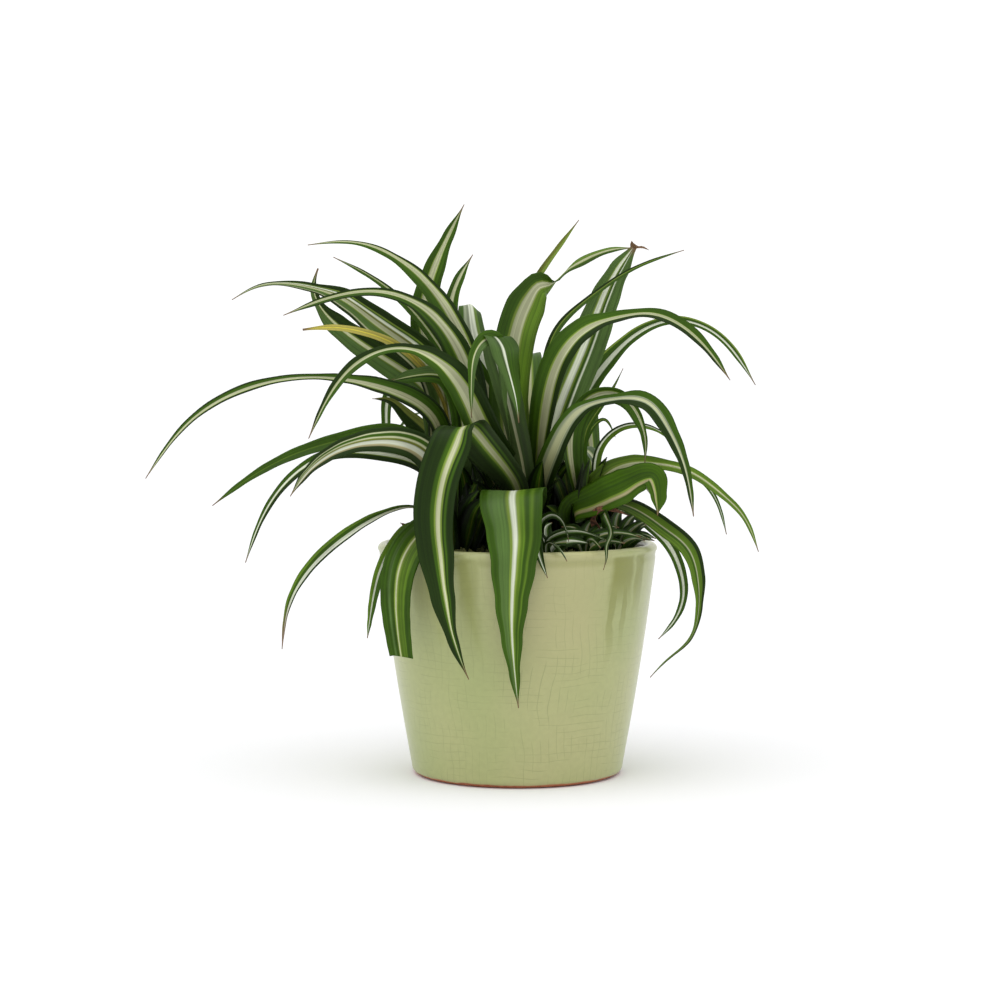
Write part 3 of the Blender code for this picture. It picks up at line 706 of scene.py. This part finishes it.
crowns = {  # place of the axis, radius and how many short blades fill the heart
    "crown_main": (4, 2, 14, 26),
    "crown_left": (-21, 1, 10, 14),
    "crown_front": (-27, -21, 8, 10),
    "crown_right": (28, -9, 10, 16),
}
crownTop = 100.8
seating = {
    "firstRing": 3.0,  # distance of the innermost roots from the crown's axis
    "ringStep": 2.2,
    "spacing": 5.2,  # between neighbours in a ring
    "liftHeight": 26.0,  # how far a base rises steeply
    "liftSpread": 0.7,
}
leaves = {}


def leaf(name, crown, width, stripes, points, **changes):
    # width is one number, or several evenly from root to tip; stripes go from the left edge, or
    # from the upper edge of a leaf that runs level half way; changes are to usualBlade
    leaves["leaf_" + name] = dict(usualBlade, crown="crown_" + crown, width=width, stripes=stripes,
                                  points=points, **changes)


# upright leaves and those that arch to the left from the main crown
leaf("spike_tall", "main", (9, 12, 14, 14.5, 14.5, 14.5, 14, 12.8, 10, 5.5, 0.4),
     "green 30, lime 4, cream 32, lime 4, green 32",
     [(-18, 16, 151), (-32, 20, 176), (-42, 21, 198), (-40, 22, 219), (-33, 22, 237), (-24, 22, 255)],
     narrowing=1.2)
leaf("spike_short", "main", (6, 8, 8.5, 9, 9, 9, 9, 8.2, 6.8, 5, 0.4), "green 32, cream 34, green 34",
     [(-6, 14, 153), (-20, 14, 182), (-30, 12, 203), (-28, 12, 217), (-20, 13, 232)], narrowing=1.2)
leaf("left_high", "main", (9, 11, 13, 14, 14, 13, 10.8, 7.5, 3.8, 1.8, 0.4),
     "green 46, lime 5, cream 30, lime 4, deep 15",
     [(-18, 0, 157), (-23, -2, 184), (-31, -5, 204), (-48, -10, 225), (-71, -14, 236), (-92, -17, 235)],
     narrowing=1.1)
leaf("left_slim", "main", (4, 5, 5, 5, 5, 4.6, 4.2, 4, 3.4, 2.2, 0.4),
     "green 52, lime 5, cream 18, bright 10, deep 15",
     [(-15, 10, 157), (-30, 13, 182), (-49, 14, 208), (-66, 15, 222), (-83, 16, 231)])
leaf("left_arch", "main", (9, 12, 14, 14, 14, 13, 10, 5.4, 4, 3.2, 0.4),
     "deep 12, green 26, lime 4, cream 28, lime 4, deep 18",
     [(-17, -11, 154), (-25, -16, 184), (-43, -23, 208), (-60, -29, 214), (-79, -34, 212),
     (-101, -38, 204)], narrowing=1.1)
leaf("left_front", "main", (10, 12.5, 14, 15, 15, 15, 14.5, 13, 9, 4.4, 4, 5.4, 4.3, 2.4, 0.4),
     "green 20, lime 4, cream 38, lime 6, deep 24",
     [(-13, -23, 150), (-26, -34, 176), (-50, -50, 190), (-69, -60, 183), (-79, -65, 171), (-88, -69, 152)],
     front=(0.9, 0.95, 0.9), narrowing=2.2)

# leaves of the left crown
leaf("left_long", "left", (8, 10, 11, 11, 10.8, 10, 7.6, 4.6, 2.9, 3.4, 4.4, 3.8, 2.9, 1.8, 0.4),
     "deep 10, green 30, cream 30, lime 4, deep 16",
     [(-37, -9, 160), (-59, -17, 173), (-79, -24, 177), (-99, -31, 177), (-122, -36, 171), (-141, -40, 159),
     (-160, -44, 134)], narrowing=1.2)
leaf("left_wide", "left", (9, 13, 16, 16, 16, 15.5, 14.5, 11, 4.5, 1.8, 0.4),
     "deep 18, lime 3, green 6, white 9, olive 7, cream 16, lime 4, blue 26, cream 5, deep 5",
     [(-38, 5, 180), (-64, -3, 202), (-76, -8, 211), (-93, -13, 217), (-114, -17, 217), (-125, -20, 211)])
leaf("left_hook", "left", (9, 13, 16, 16, 16, 16, 15, 13.5, 10.5, 4, 0.8),
     "deep 38, lime 3, cream 16, lime 3, blue 40",
     [(-38, 11, 167), (-55, 13, 182), (-76, 15, 196), (-87, 16, 206), (-92, 17, 217), (-90, 18, 226)])
leaf("yellow", "left", (1.2, 1.2, 1.2, 1.3, 1.5, 2, 3.6, 3.8, 3.4, 2.8, 1.0), "pale 40, yellow 20, pale 40",
     [(-34, 4, 168), (-43, 0, 182), (-54, -8, 191.5), (-68, -14, 197), (-82, -18, 199), (-94, -21, 198)],
     dimTo=0.85)
leaf("left_inner", "left", (7, 8, 9, 10, 10, 10, 9.5, 9, 8, 6, 0.4),
     "green 30, deep 14, lime 3, cream 8, lime 3, blue 42",
     [(-27, -1, 168), (-33, -1, 177), (-44, -2, 178), (-58, -4, 175)], front=(0.5, 1, 1))
leaf("left_low", "left", (7, 8, 9, 9, 9, 8, 7, 5.6, 4.2, 2.6, 0.4), "green 44, bright 12, green 44",
     [(-40, -14, 143), (-52, -19, 152), (-73, -26, 151), (-97, -32, 144), (-116, -36, 134),
     (-132, -39, 122)])
leaf("back_hanging", "left", (5, 6, 7, 7, 7, 7, 6.5, 6, 5.5, 4.5, 1.5), "green 32, white 36, green 32",
     [(-36, 20, 162), (-50, 28, 177), (-58, 30, 170), (-60, 31, 157), (-60, 31, 143)])
leaf("back_olive", "left", 14, "deep 60, olive 40",
     [(-39, 17, 147), (-51, 20, 160), (-58, 22, 166), (-66, 23, 167)])

# leaves of the front crown, two of them over the rim
leaf("left_broad", "front", (9, 12, 14, 14.5, 14.3, 13, 11, 8.6, 6.6, 4, 0.4),
     "deep 14, cream 4, green 14, cream 6, olive 10, white 18, beige 12, deep 22",
     [(-41, -34, 145), (-64, -43, 150), (-80, -49, 145), (-90, -53, 137), (-97, -55, 127)])
leaf("left_thin", "front", (4, 5, 6, 6.5, 6.5, 6, 5.4, 4.4, 3.4, 2.2, 0.4),
     "green 34, white 24, lime 6, deep 36",
     [(-40, -20, 136), (-60, -30, 144), (-81, -37, 144), (-98, -42, 134), (-110, -45, 117),
     (-117, -47, 98)])
leaf("left_drooping", "front", (3, 3, 1.6, 2.6, 4.2, 5.2, 5.2, 4.6, 3.2, 1.6, 0.4),
     "bright 24, green 30, white 34, deep 12",
     [(-42, -21, 119), (-59, -26, 118), (-75, -31, 109), (-90, -36, 95.5), (-99, -39, 80), (-102, -41, 60)],
     tip=0.8)
leaf("rim_narrow", "front", (4, 5, 5.4, 5.6, 5.6, 5.4, 5, 4.4, 3.6, 2.2, 0.4),
     "bright 34, white 20, green 46",
     [(-45, -29, 112), (-53, -36, 106), (-59, -40, 95), (-62, -42, 84), (-65, -43, 65)])
leaf("rim_cut", "front", (8, 10, 12, 14, 15, 15.3, 14.6, 13.6, 12.4, 11.2, 10.2),
     "green 18, blue 10, green 14, lime 3, cream 6, lime 4, bright 30, green 14",
     [(-38, -37, 112), (-45, -43, 107), (-50, -48, 98), (-52, -50, 88), (-52, -51, 75), (-50, -51, 58)],
     cut=True, tip=1)

# leaves that fold over at the front
leaf("front_left", "main", (9, 13, 15, 17, 18, 18, 17.5, 15.7, 10.8, 5, 0.4),
     "deep 40, green 13, lime 4, cream 14, lime 4, deep 6, green 6, deep 14",
     [(-2, -22, 128), (-13, -36, 144), (-22, -45, 155), (-24.5, -48.5, 156.5), (-28, -52, 151),
     (-33, -56, 138), (-36, -60, 120), (-34.5, -63, 101), (-31.4, -65, 82), (-26.5, -65, 63),
     (-21, -65, 50)], waver=1, fold=10, dimTo=0.46, face=[(0, (0.4, 0.9, 0.3)), (0.36, (0, 1, 0.3)),
     (0.41, (0, 0, 1)), (0.46, (0, -1, 0.3)), (1, (0, -1, 0))])
leaf("front_centre", "main", (12, 18, 24, 27.5, 27, 23.6, 19, 14, 9.2, 4.8, 0.4),
     "green 12, blue 29, lime 5, white 11, lime 5, bright 10, green 9, bright 6, green 13",
     [(2, -24, 120), (0, -36, 126), (-2, -47, 129), (-3, -56, 126), (-2, -63, 115), (-2, -66, 101),
     (-3, -68, 76), (0, -66, 38)], front=0, fold=5, waver=0, dimTo=0.2)
leaf("folded_left", "main", (6, 7, 8, 9, 11, 12, 11, 8.4, 5.2, 2.6, 0.4),
     "blue 42, cream 14, lime 4, green 40",
     [(-3, -12, 150), (-4, -20, 174), (-7, -27, 190), (-13, -33, 194), (-18, -38, 189), (-20, -41, 178),
     (-20, -43, 160)], front=(0.3, 0.5, 0.9, 1), dimTo=0.6)
leaf("folded_right", "main", (7, 8, 8.5, 10, 12, 12.5, 13.5, 6.5, 0.4), "blue 38, white 12, green 50",
     [(4, -13, 128), (0, -17, 152), (-6, -20, 176), (-10, -24, 191), (-10, -29, 195), (-7, -34, 192),
     (-5, -39, 186), (-3.6, -41, 180), (-1, -43, 169), (0.3, -44, 158)], face=[(0, (0, 1, 0.3)),
     (0.6, (0, 1, 1)), (0.68, (0.3, -0.3, 1)), (0.76, (0.3, -0.8, 0.8)), (0.79, (0, -1, 0.1)),
     (1, (0, -1, 0.1))], waver=0, fold=8, dimTo=0.7)

# upright leaves and those that arch to the right from the main crown
leaf("top_round", "main", 21, "green 10, grey 22, white 24, lime 8, bright 14, green 22",
     [(-6, 20, 153), (-13, 30, 180), (-19.5, 38, 201), (-21, 46, 210), (-23, 57, 208), (-27, 67, 196),
     (-30, 75, 178)], front=0, fold=-30, waver=0)
leaf("centre_twisted", "main", (10, 13, 15, 16.5, 17.5, 18, 18.5, 18.5, 18.5, 18.5, 13, 1.8, 4.3, 2.8, 0.4),
     "green 26, lime 6, cream 28, lime 4, bright 30",
     [(-4, 6, 165), (-2, 7, 188), (0.5, 8, 200), (3, 9, 207), (6.5, 10, 214), (10, 11, 218),
     (15.6, 13, 219), (21.4, 14, 223.7), (30.3, 15, 229.7), (42.1, 15.5, 234.2), (52.5, 16, 235.1)],
     front=1, waver=2, twist=(0, 0, 0, 0, 0, 0, 0, 0, 0, 0, 0, 120, 170, 180, 180), tip=0.97)
leaf("centre_thin", "main", (3, 4, 5, 5, 5, 5, 4.5, 3.8, 3.2, 2.4, 0.4), "olive 50, lime 50",
     [(3, 14, 160), (1, 17, 189), (6, 19, 216), (16, 20, 232), (28, 21, 248)])
leaf("right_tall", "main", (10, 13, 15, 16, 17, 17.5, 17.5, 16.4, 13.8, 9.8, 2.6),
     "blue 26, lime 4, white 20, lime 4, green 10, white 4, blue 32",
     [(22, 14, 167), (33, 19, 194), (40, 22, 213), (46, 24, 225), (54, 26, 237)], front=(0.6, 0.95, 0.95),
     curls=[(2.8, [(53.6, 26, 235), (52.4, 25, 237), (52, 24, 238.6)]), (1.5, [(54, 26, 235.6),
     (57, 26, 235.8), (60, 27, 234.6)])])
leaf("right_slim", "main", (3, 4, 4.5, 4.5, 4.5, 4, 3.4, 2.6, 2.2, 1.6, 0.4), "deep 34, lime 16, green 50",
     [(10, 1, 160), (12, 2, 178), (17, 4, 197), (33, 7, 213), (51, 10, 225), (75, 13, 234)])
leaf("right_arch", "main", (10, 12, 13.5, 14, 14, 14, 13.5, 13, 11, 6, 4.4, 6.2, 5.9, 3.8, 0.4),
     "green 34, lime 6, cream 32, lime 3, deep 19",
     [(12, -12, 166), (18, -15, 186), (30, -18, 199), (45, -21, 204), (59, -25, 205), (75, -28, 197),
     (92, -31, 176)], narrowing=1.8)
leaf("right_behind", "main", (8, 10, 11, 11, 10.5, 8.6, 5.8, 4.2, 3.6, 3.6, 0.4),
     "lime 8, green 34, white 28, green 30",
     [(26, 26, 162), (43, 34, 186), (57, 38, 198), (73, 40, 203), (90, 40, 198), (110, 38, 173)])
leaf("right_front", "main", (9, 11, 12, 12, 11.5, 10, 8.6, 4.8, 4.6, 8, 8.6, 6.6, 4.6, 3, 0.5),
     "green 20, grey 14, cream 30, grey 10, deep 26",
     [(16, -20, 145), (27, -30, 163), (41, -38, 168), (55, -43, 167), (64, -46, 156), (71, -48, 140),
     (75, -49, 118)], front=(0.8, 0.9, 0.85), narrowing=2.6)

# leaves of the right crown
leaf("right_spike", "right", 5, "green 40, lime 20, green 40",
     [(31, -1, 154), (40, -1, 168), (47, -2, 181)])
leaf("right_hanging", "right", (6, 8, 9, 10, 11, 11, 10, 8, 6, 3.2, 0.4),
     "green 20, lime 6, cream 26, green 48",
     [(25, -17, 156), (35, -24, 169), (44, -28, 169), (52, -31, 160), (55, -33, 150), (55, -33, 140)])
leaf("right_small", "right", 5, "green 40, lime 20, green 40",
     [(31, 6, 150), (39, 7, 158), (44, 7, 150)])
leaf("right_hoop", "right", (4, 5, 5, 5, 4.5, 4, 3.5, 3, 2.4, 1.6, 0.4), "deep 22, white 20, bright 58",
     [(37, -7, 146), (43, -9, 153), (51, -13, 156), (63, -16, 153), (70, -17, 147)])
leaf("right_long", "right", (9, 13, 14, 12.5, 9, 5, 5, 4.5, 3.5, 2.4, 0.4),
     "bright 30, lime 8, cream 18, lime 8, bright 36",
     [(33, -20, 125), (38, -23, 132.5), (46, -25, 138), (60, -27, 139.5), (75, -29, 136), (88, -33, 127),
     (97, -36, 118), (104, -38, 102)], front=(0.8, 0.9, 0.8))
leaf("right_twin", "right", (3, 4, 4, 4, 4, 3.6, 3, 2.6, 2.2, 1.6, 0.4), "green 40, white 20, green 40",
     [(46, -4, 139), (62, -8, 140), (77, -12, 135), (86, -15, 126), (92, -17, 108)])
leaf("right_bright", "right", (9, 11, 13, 14.5, 16, 17, 16.5, 13, 11, 7.5, 0.4),
     "lit 30, green 8, lit 24, lime 6, beige 12, lit 20",
     [(24, -24, 119), (31, -30, 123), (38, -35, 126.5), (46, -40, 130.5), (53, -44, 134.5),
     (57.5, -46.5, 135), (59.5, -48, 130), (60, -49, 124.5), (59.5, -49.5, 118.5)],
     face=[(0, (-0.3, -0.8, 0.5)), (0.5, (0, -1, 0.5)), (0.66, (0, -1, 0.4)), (0.8, (0.2, -1, 0.2)),
     (1, (0.2, -1, 0.2))], waver=1)
leaf("right_drooping", "right", (5, 6, 7, 8, 8.6, 8.4, 6.6, 3.4, 1.7, 1, 0.4),
     "bright 30, green 14, cream 7, bright 30, deep 19",
     [(40, -19, 121), (53, -25, 119), (65, -30, 111), (74, -35, 103), (78, -38, 90), (78, -40, 76),
     (74, -41, 64), (65, -42, 56), (57, -43, 48)])
leaf("right_inside", "right", (4, 5, 5.5, 5.5, 5.5, 5.2, 4.8, 4.2, 3.4, 2.2, 0.4),
     "green 30, white 34, green 36",
     [(45, -9, 118), (58, -12, 112), (67, -14, 103), (72, -16, 92), (73, -18, 80), (69, -19, 70),
     (62, -20, 62)])

# leaves of the back
backStripes = "green 33, lime 4, cream 26, lime 4, green 33"
for name, crown, width, points in (
    ("back_right", "main", 14, [(22, 30, 155), (28, 56, 171), (33, 84, 164), (37, 104, 140), (39, 116, 108),
     (40, 120, 78)]),
    ("back_left", "main", 14, [(-12, 38, 156), (-22, 62, 166), (-30, 88, 158), (-36, 108, 138),
     (-40, 118, 110), (-42, 122, 82)]),
    ("back_centre", "main", 15, [(5, 42, 168), (5, 66, 186), (4, 90, 183), (5, 112, 164), (6, 126, 132),
     (6, 130, 98)]),
    ("back_side", "left", 11, [(-27, 38, 148), (-42, 60, 160), (-54, 74, 154), (-60, 81, 144)]),
    ("back_low_left", "main", 10, [(-20, 36, 128), (-32, 56, 137), (-42, 76, 129), (-46, 86, 112)]),
    ("back_low_right", "main", 12, [(20, 36, 136), (30, 58, 143), (38, 80, 136), (42, 94, 119)]),
    ("back_corner", "right", 10, [(43, 13, 128), (52, 26, 131), (62, 36, 123), (66, 40, 115)]),
):
    leaf(name, crown, width, backStripes, points, front=0)


def seatLeaves(crown):
    # each leaf's root on its crown: steep leaves inside, reclining ones outside
    centre = np.array([*crowns[crown][:2], crownTop])

    def aim(name):
        return np.array(leaves[name]["points"][0], float) - centre

    placed, seats = [], {}
    members = [name for name in leaves if leaves[name]["crown"] == crown]
    for name in sorted(members, key=lambda name: math.hypot(*aim(name)[:2]) / aim(name)[2]):
        angle = math.atan2(aim(name)[1], aim(name)[0])
        radius = seating["firstRing"]
        for otherAngle, otherRadius in sorted(placed, key=lambda seat: seat[1]):
            apart = abs((angle - otherAngle + math.pi) % (2 * math.pi) - math.pi)
            near = apart * max(radius, otherRadius) < seating["spacing"]
            if near and abs(radius - otherRadius) < seating["ringStep"]:
                radius = otherRadius + seating["ringStep"]
        placed.append((angle, radius))
        outward = np.array([*polar(1.0, angle), 0.0])
        seats[name] = (centre + outward * radius, outward, radius)
    return seats


def liftPoint(root, outward, ring, first):
    # makes the base rise steeply, and more so in the inner rings
    rise = min(seating["liftHeight"], 0.5 * (first[2] - root[2]))
    reach = outward.dot(np.array(first, float) - root)
    lean = min(ring * seating["liftSpread"] * rise / seating["liftHeight"], 0.6 * max(reach, 0.0))
    return root + outward * lean + np.array([0.0, 0.0, rise])


def makeLeaves():
    for crown in crowns:
        for name, (root, outward, ring) in seatLeaves(crown).items():
            spec = leaves[name]
            path = [root, liftPoint(root, outward, ring, spec["points"][0]), *spec["points"]]
            material = stripedBlade(name, spec["stripes"], spec["tip"], float(len(name) * 3 + ring),
                                    spec["narrowing"], spec["dimTo"])
            blades = [bladePoints(spec, path, outward)]
            for width, points in spec["curls"]:
                curl = dict(spec, width=width, face=None, front=0.5, stations=12, columns=4, ripple=0.12)
                upper, lower, uvs, stations, columns = bladePoints(curl, points, outward)
                blades.append((upper, lower, [(u, 1.0) for u, _ in uvs], stations, columns))
            addPiece(bladeMesh(name + "_blade", blades), material, name)


makeLeaves()
print("leaves grown:", len(leaves))


# The crowns are overlapping pale sheaths that the leaves rise from, with short blades in the heart.

sheaths = {
    "foot": 92.0,
    "top": 104.0,
    "ribs": 9,
    "ribDepth": 0.09,
    "sides": 90,
    "rows": 26,
    "sheath": paint(86, 92, 44),
    "lightSheath": paint(140, 142, 84),
    "earth": paint(44, 32, 20),
}


def sheathMesh(name, x, y, radius):
    points = []
    rows, sides = sheaths["rows"], sheaths["sides"]
    for row in range(rows + 1):
        share = row / rows
        height = sheaths["foot"] + (sheaths["top"] - sheaths["foot"]) * share
        reach = radius * (1 - 0.75 * max(0.0, (share - 0.55) / 0.45) ** 2)
        for k in range(sides):
            angle = 2 * math.pi * k / sides
            rib = 1 + sheaths["ribDepth"] * abs(math.sin(angle * sheaths["ribs"] / 2 + share * 2.0))
            along, aside = polar(reach * rib, angle)
            points.append((x + along, y + aside, height))
    return makeMesh(name, points, tubeFaces(rows, sides))


def paleSheath():
    material, tree, shader = startMaterial("crown")
    x, y, height = split(objectPlace(tree))
    grain = cloud(combine(times(x, 900.0), times(y, 900.0), times(height, 90.0)), 1.0, 3.0)
    colour = blend(spread(grain, 0.35, 0.65), sheaths["sheath"], sheaths["lightSheath"])
    colour = blend(spread(height, 0.097, 0.101, 0.8, 0.0), colour, sheaths["earth"])
    dress(shader, colour, 0.65)
    raiseBumps(shader, grain, 0.3)
    return material


hearts = {
    "width": (8.0, 13.0),
    "rise": (20.0, 44.0),
    "reach": (4.0, 15.0),
    # the short heart blades are leaves, but their near-black colours are painted shade
    "stripes": "dark 20, deep 22, green 18, olive 5, green 10, deep 15, dark 12",
}


def heartBlades(crown):
    x, y, radius, number = crowns[crown]
    dice = random.Random(len(crown) * 7)
    blades = []
    for count in range(number):
        angle = count * 2.4 + dice.uniform(-0.3, 0.3)
        outward = np.array([*polar(1.0, angle), 0.0])
        ring = radius * math.sqrt((count + 0.5) / number) * 0.85
        root = np.array([x, y, crownTop - 1.0]) + outward * ring
        rise, reach = dice.uniform(*hearts["rise"]), dice.uniform(*hearts["reach"])
        path = [root]
        for out, up in ((0.3, 0.5), (0.8, 0.85), (1.3, 1.0)):
            path.append(root + outward * reach * out + np.array([0, 0, rise * up]))
        spec = dict(usualBlade, width=dice.uniform(*hearts["width"]), front=dice.uniform(0.3, 0.9), fold=20,
                    base=0.9, widest=0.4, taper=3.0, waver=6.0, stations=24, columns=8)
        blades.append(bladePoints(spec, path, outward))
    return blades


sheath = paleSheath()
# painted shade over most of each heart blade
heart = stripedBlade("heart_blade_shaded", hearts["stripes"], 1, 5.0, 1.0, 0.9)
for crown, (x, y, radius, _) in crowns.items():
    addPiece(sheathMesh(crown + "_sheath", x, y, radius), sheath, crown)
    addPiece(bladeMesh(crown + "_heart", heartBlades(crown)), heart, crown)
print("crowns set")


# The small plantlets lie on the soil, and dry bits of leaf lie by the rim.

plantletLook = {
    "rootHeight": 97.5,
    "fuller": 1.1,  # how much wider the blades are than listed
    "young": "deep 22, green 14, white 16, grey 12, green 8, deep 28",
    "older": "deep 24, green 14, grey 14, beige 8, green 12, deep 28",
    "dry": paint(58, 34, 24),
    "lightDry": paint(126, 82, 56),
}

plantlets = {  # place, then each blade's width and points
    "plantlet_left": (13, -43, [
        (4.5, [(9, -37, 108), (10.5, -42, 116), (15.5, -47, 118.5), (19.2, -51, 115.5),
            (21.5, -53, 107.5)]),
        (5.5, [(12, -47, 107), (20, -49, 111.5), (28, -50, 111.5), (35, -51, 109), (39, -51, 107)]),
        (5.5, [(12, -51, 106), (15, -58, 107), (18, -62, 104), (20.5, -64, 100)]),
        (6.0, [(9, -49, 106), (7.5, -56, 108.5), (8, -61, 105.5), (10, -64, 99), (12.3, -65, 93)]),
        (6.0, [(15, -38, 107), (22, -36, 110), (30, -36, 109)]),
        (6.0, [(9, -39, 108), (4, -38, 111), (0, -37, 109)]),
        (8.0, [(15, -44, 104), (22, -45, 107), (31, -44, 106)]),
        (8.0, [(12, -40, 105), (12, -34, 112), (15, -28, 114)]),
    ]),
    "plantlet_middle": (29, -38, [
        (4.2, [(36, -36, 104), (38.5, -38, 113), (37, -41, 119), (38.6, -46, 115.5), (39.8, -49, 110.5),
            (37.8, -53, 106), (37.4, -58, 101), (36, -60, 96)]),
        (5.5, [(33, -40, 108), (40, -42, 110.5), (48, -42, 110), (53, -41, 108.5)]),
        (5.5, [(24, -41, 108), (19, -42, 110), (14, -42, 108)]),
        (6.0, [(27, -33, 108), (24, -29, 112), (19, -27, 112)]),
        (6.5, [(32, -34, 108), (38, -32, 112.5), (44, -31, 112)]),
        (5.0, [(30, -43, 107), (32, -49, 108), (35, -54, 105)]),
        (8.0, [(31, -40, 104), (38, -42, 107), (46, -42, 106)]),
        (8.0, [(27, -39, 104), (22, -44, 107), (14, -48, 106)]),
        (7.0, [(29, -33, 106), (31, -26, 113), (34, -20, 115)]),
    ]),
    "plantlet_right": (44, -24, [
        (4.5, [(45, -29, 107), (47, -34, 109.5), (50, -38, 109)]),
        (4.5, [(48, -25, 107), (53, -27, 108.5), (57, -27, 106.5)]),
        (4.5, [(41, -29, 108), (38, -33, 111), (35, -36, 109)]),
        (5.0, [(46, -20, 106), (51, -18, 108.5), (56, -17, 107)]),
        (5.5, [(40, -22, 108), (34, -22, 112), (29, -22, 111)]),
        (7.5, [(45, -28, 104), (50, -29, 107), (55.5, -26, 106)]),
        (7.5, [(42, -28, 105), (38, -34, 108), (32, -37, 107)]),
        (7.0, [(47, -21, 106), (53, -18, 111), (57, -13, 112)]),
        (6.0, [(48, -24, 104), (54, -24, 107), (60, -22, 105.5)]),
        (6.0, [(48, -22, 104), (54, -19, 108), (61, -16, 106)]),
        (7.0, [(46, -20, 108), (50, -16, 115), (55, -12, 118)]),
        (7.0, [(48, -22, 108), (54, -20, 113), (58, -17, 114)]),
        (7.0, [(43, -20, 108), (44, -15, 116), (47, -9, 119)]),
    ]),
    "flake_left": (-42, -13, [
        (6.0, [(-43, -13, 106), (-47, -14, 110), (-52, -14, 113)]),
    ]),
    "flake_right": (35, -30, [
        (4.8, [(36, -31, 108), (33, -34, 117), (36, -37, 120.5), (42, -38, 120), (48, -38, 117.5)]),
    ]),
}


def smallBlade(width, points, x, y, dry):
    outward = np.array([points[0][0] - x, points[0][1] - y, 0.0])
    outward /= np.linalg.norm(outward)
    root = np.array([x, y, plantletLook["rootHeight"]]) + outward
    fuller, ripple = (1.0, 0.25) if dry else (plantletLook["fuller"], 0.1)
    spec = dict(usualBlade, width=width * fuller, front=0.7, fold=22, base=0.8, waver=14.0, ripple=ripple,
                stations=30, columns=8)
    return bladePoints(spec, [root, *points], outward)


def dryLeaf():
    material, tree, shader = startMaterial("leaf_dry")
    grain = cloud(objectPlace(tree), 700, 4, 0.65)
    colour = blend(spread(grain, 0.35, 0.65), plantletLook["dry"], plantletLook["lightDry"])
    dress(shader, colour, 0.85)
    raiseBumps(shader, grain, 0.4)
    return material


youngBlade = stripedBlade("plantlet_young", plantletLook["young"], 0.93, 2.0, 1.0, 0.25)
olderBlade = stripedBlade("plantlet_older", plantletLook["older"], 0.9, 7.0, 1.0, 0.25)
dryBlade = dryLeaf()
for name, (x, y, blades) in plantlets.items():
    dry = name.startswith("flake")
    mesh = bladeMesh(name + "_blades", [smallBlade(width, points, x, y, dry) for width, points in blades])
    blade = dryBlade if dry else youngBlade if name == "plantlet_left" else olderBlade
    addPiece(mesh, blade, name)
print("plantlets and dry bits placed")


# The studio is a white floor under soft light.

studio = {
    "floorSize": 120.0,
    "floorColour": (0.93, 0.93, 0.945, 1.0),
    "wallLight": 1.12,  # white walls all round, at and below eye level
    "ceilingLight": 0.72,
    # direction that the light comes from, strength and softness in degrees
    "lights": [((-0.4, -0.3, 1.0), 0.86, 70), ((0.4, -0.2, 1.0), 0.6, 80)],
    "camera": (-0.0078, -1.116, 0.1885),
    "cameraTilt": 86.6,
    "lens": 90.0,
}


def makeFloor():
    bpy.ops.mesh.primitive_plane_add(size=studio["floorSize"], location=(0, 0, -0.0001))
    floor = bpy.context.object
    floor.name = "floor"
    paper, _, shader = startMaterial("white_paper")
    dress(shader, studio["floorColour"], 1.0, 0.0)
    floor.data.materials.append(paper)


def lightRoom():
    world = bpy.data.worlds.new("studio")
    world.use_nodes = True
    upwards = split(addNode(world.node_tree, "TexCoord").outputs["Generated"])[2]
    glow = spread(upwards, 0.12, 0.5, studio["wallLight"], studio["ceilingLight"])
    feed(world.node_tree.nodes["Background"], [(1.0, 1.0, 1.0, 1.0), glow])
    bpy.context.scene.world = world
    for count, (source, strength, softness) in enumerate(studio["lights"]):
        lamp = bpy.data.lights.new(f"softbox_{count}", "SUN")
        lamp.energy = strength
        lamp.angle = math.radians(softness)
        holder = addObject(lamp.name, lamp)
        holder.rotation_euler = (-Vector(source)).to_track_quat("-Z", "Y").to_euler()
    bpy.context.scene.view_settings.view_transform = "Standard"


def placeCamera():
    lens = bpy.data.cameras.new("camera")
    lens.sensor_width = 36.0
    lens.lens = studio["lens"]
    lens.clip_start, lens.clip_end = 0.01, 50.0
    camera = addObject("camera", lens)
    camera.location = studio["camera"]
    camera.rotation_euler = (math.radians(studio["cameraTilt"]), 0.0, 0.0)
    bpy.context.scene.camera = camera


makeFloor()
lightRoom()
placeCamera()
print("studio lit")
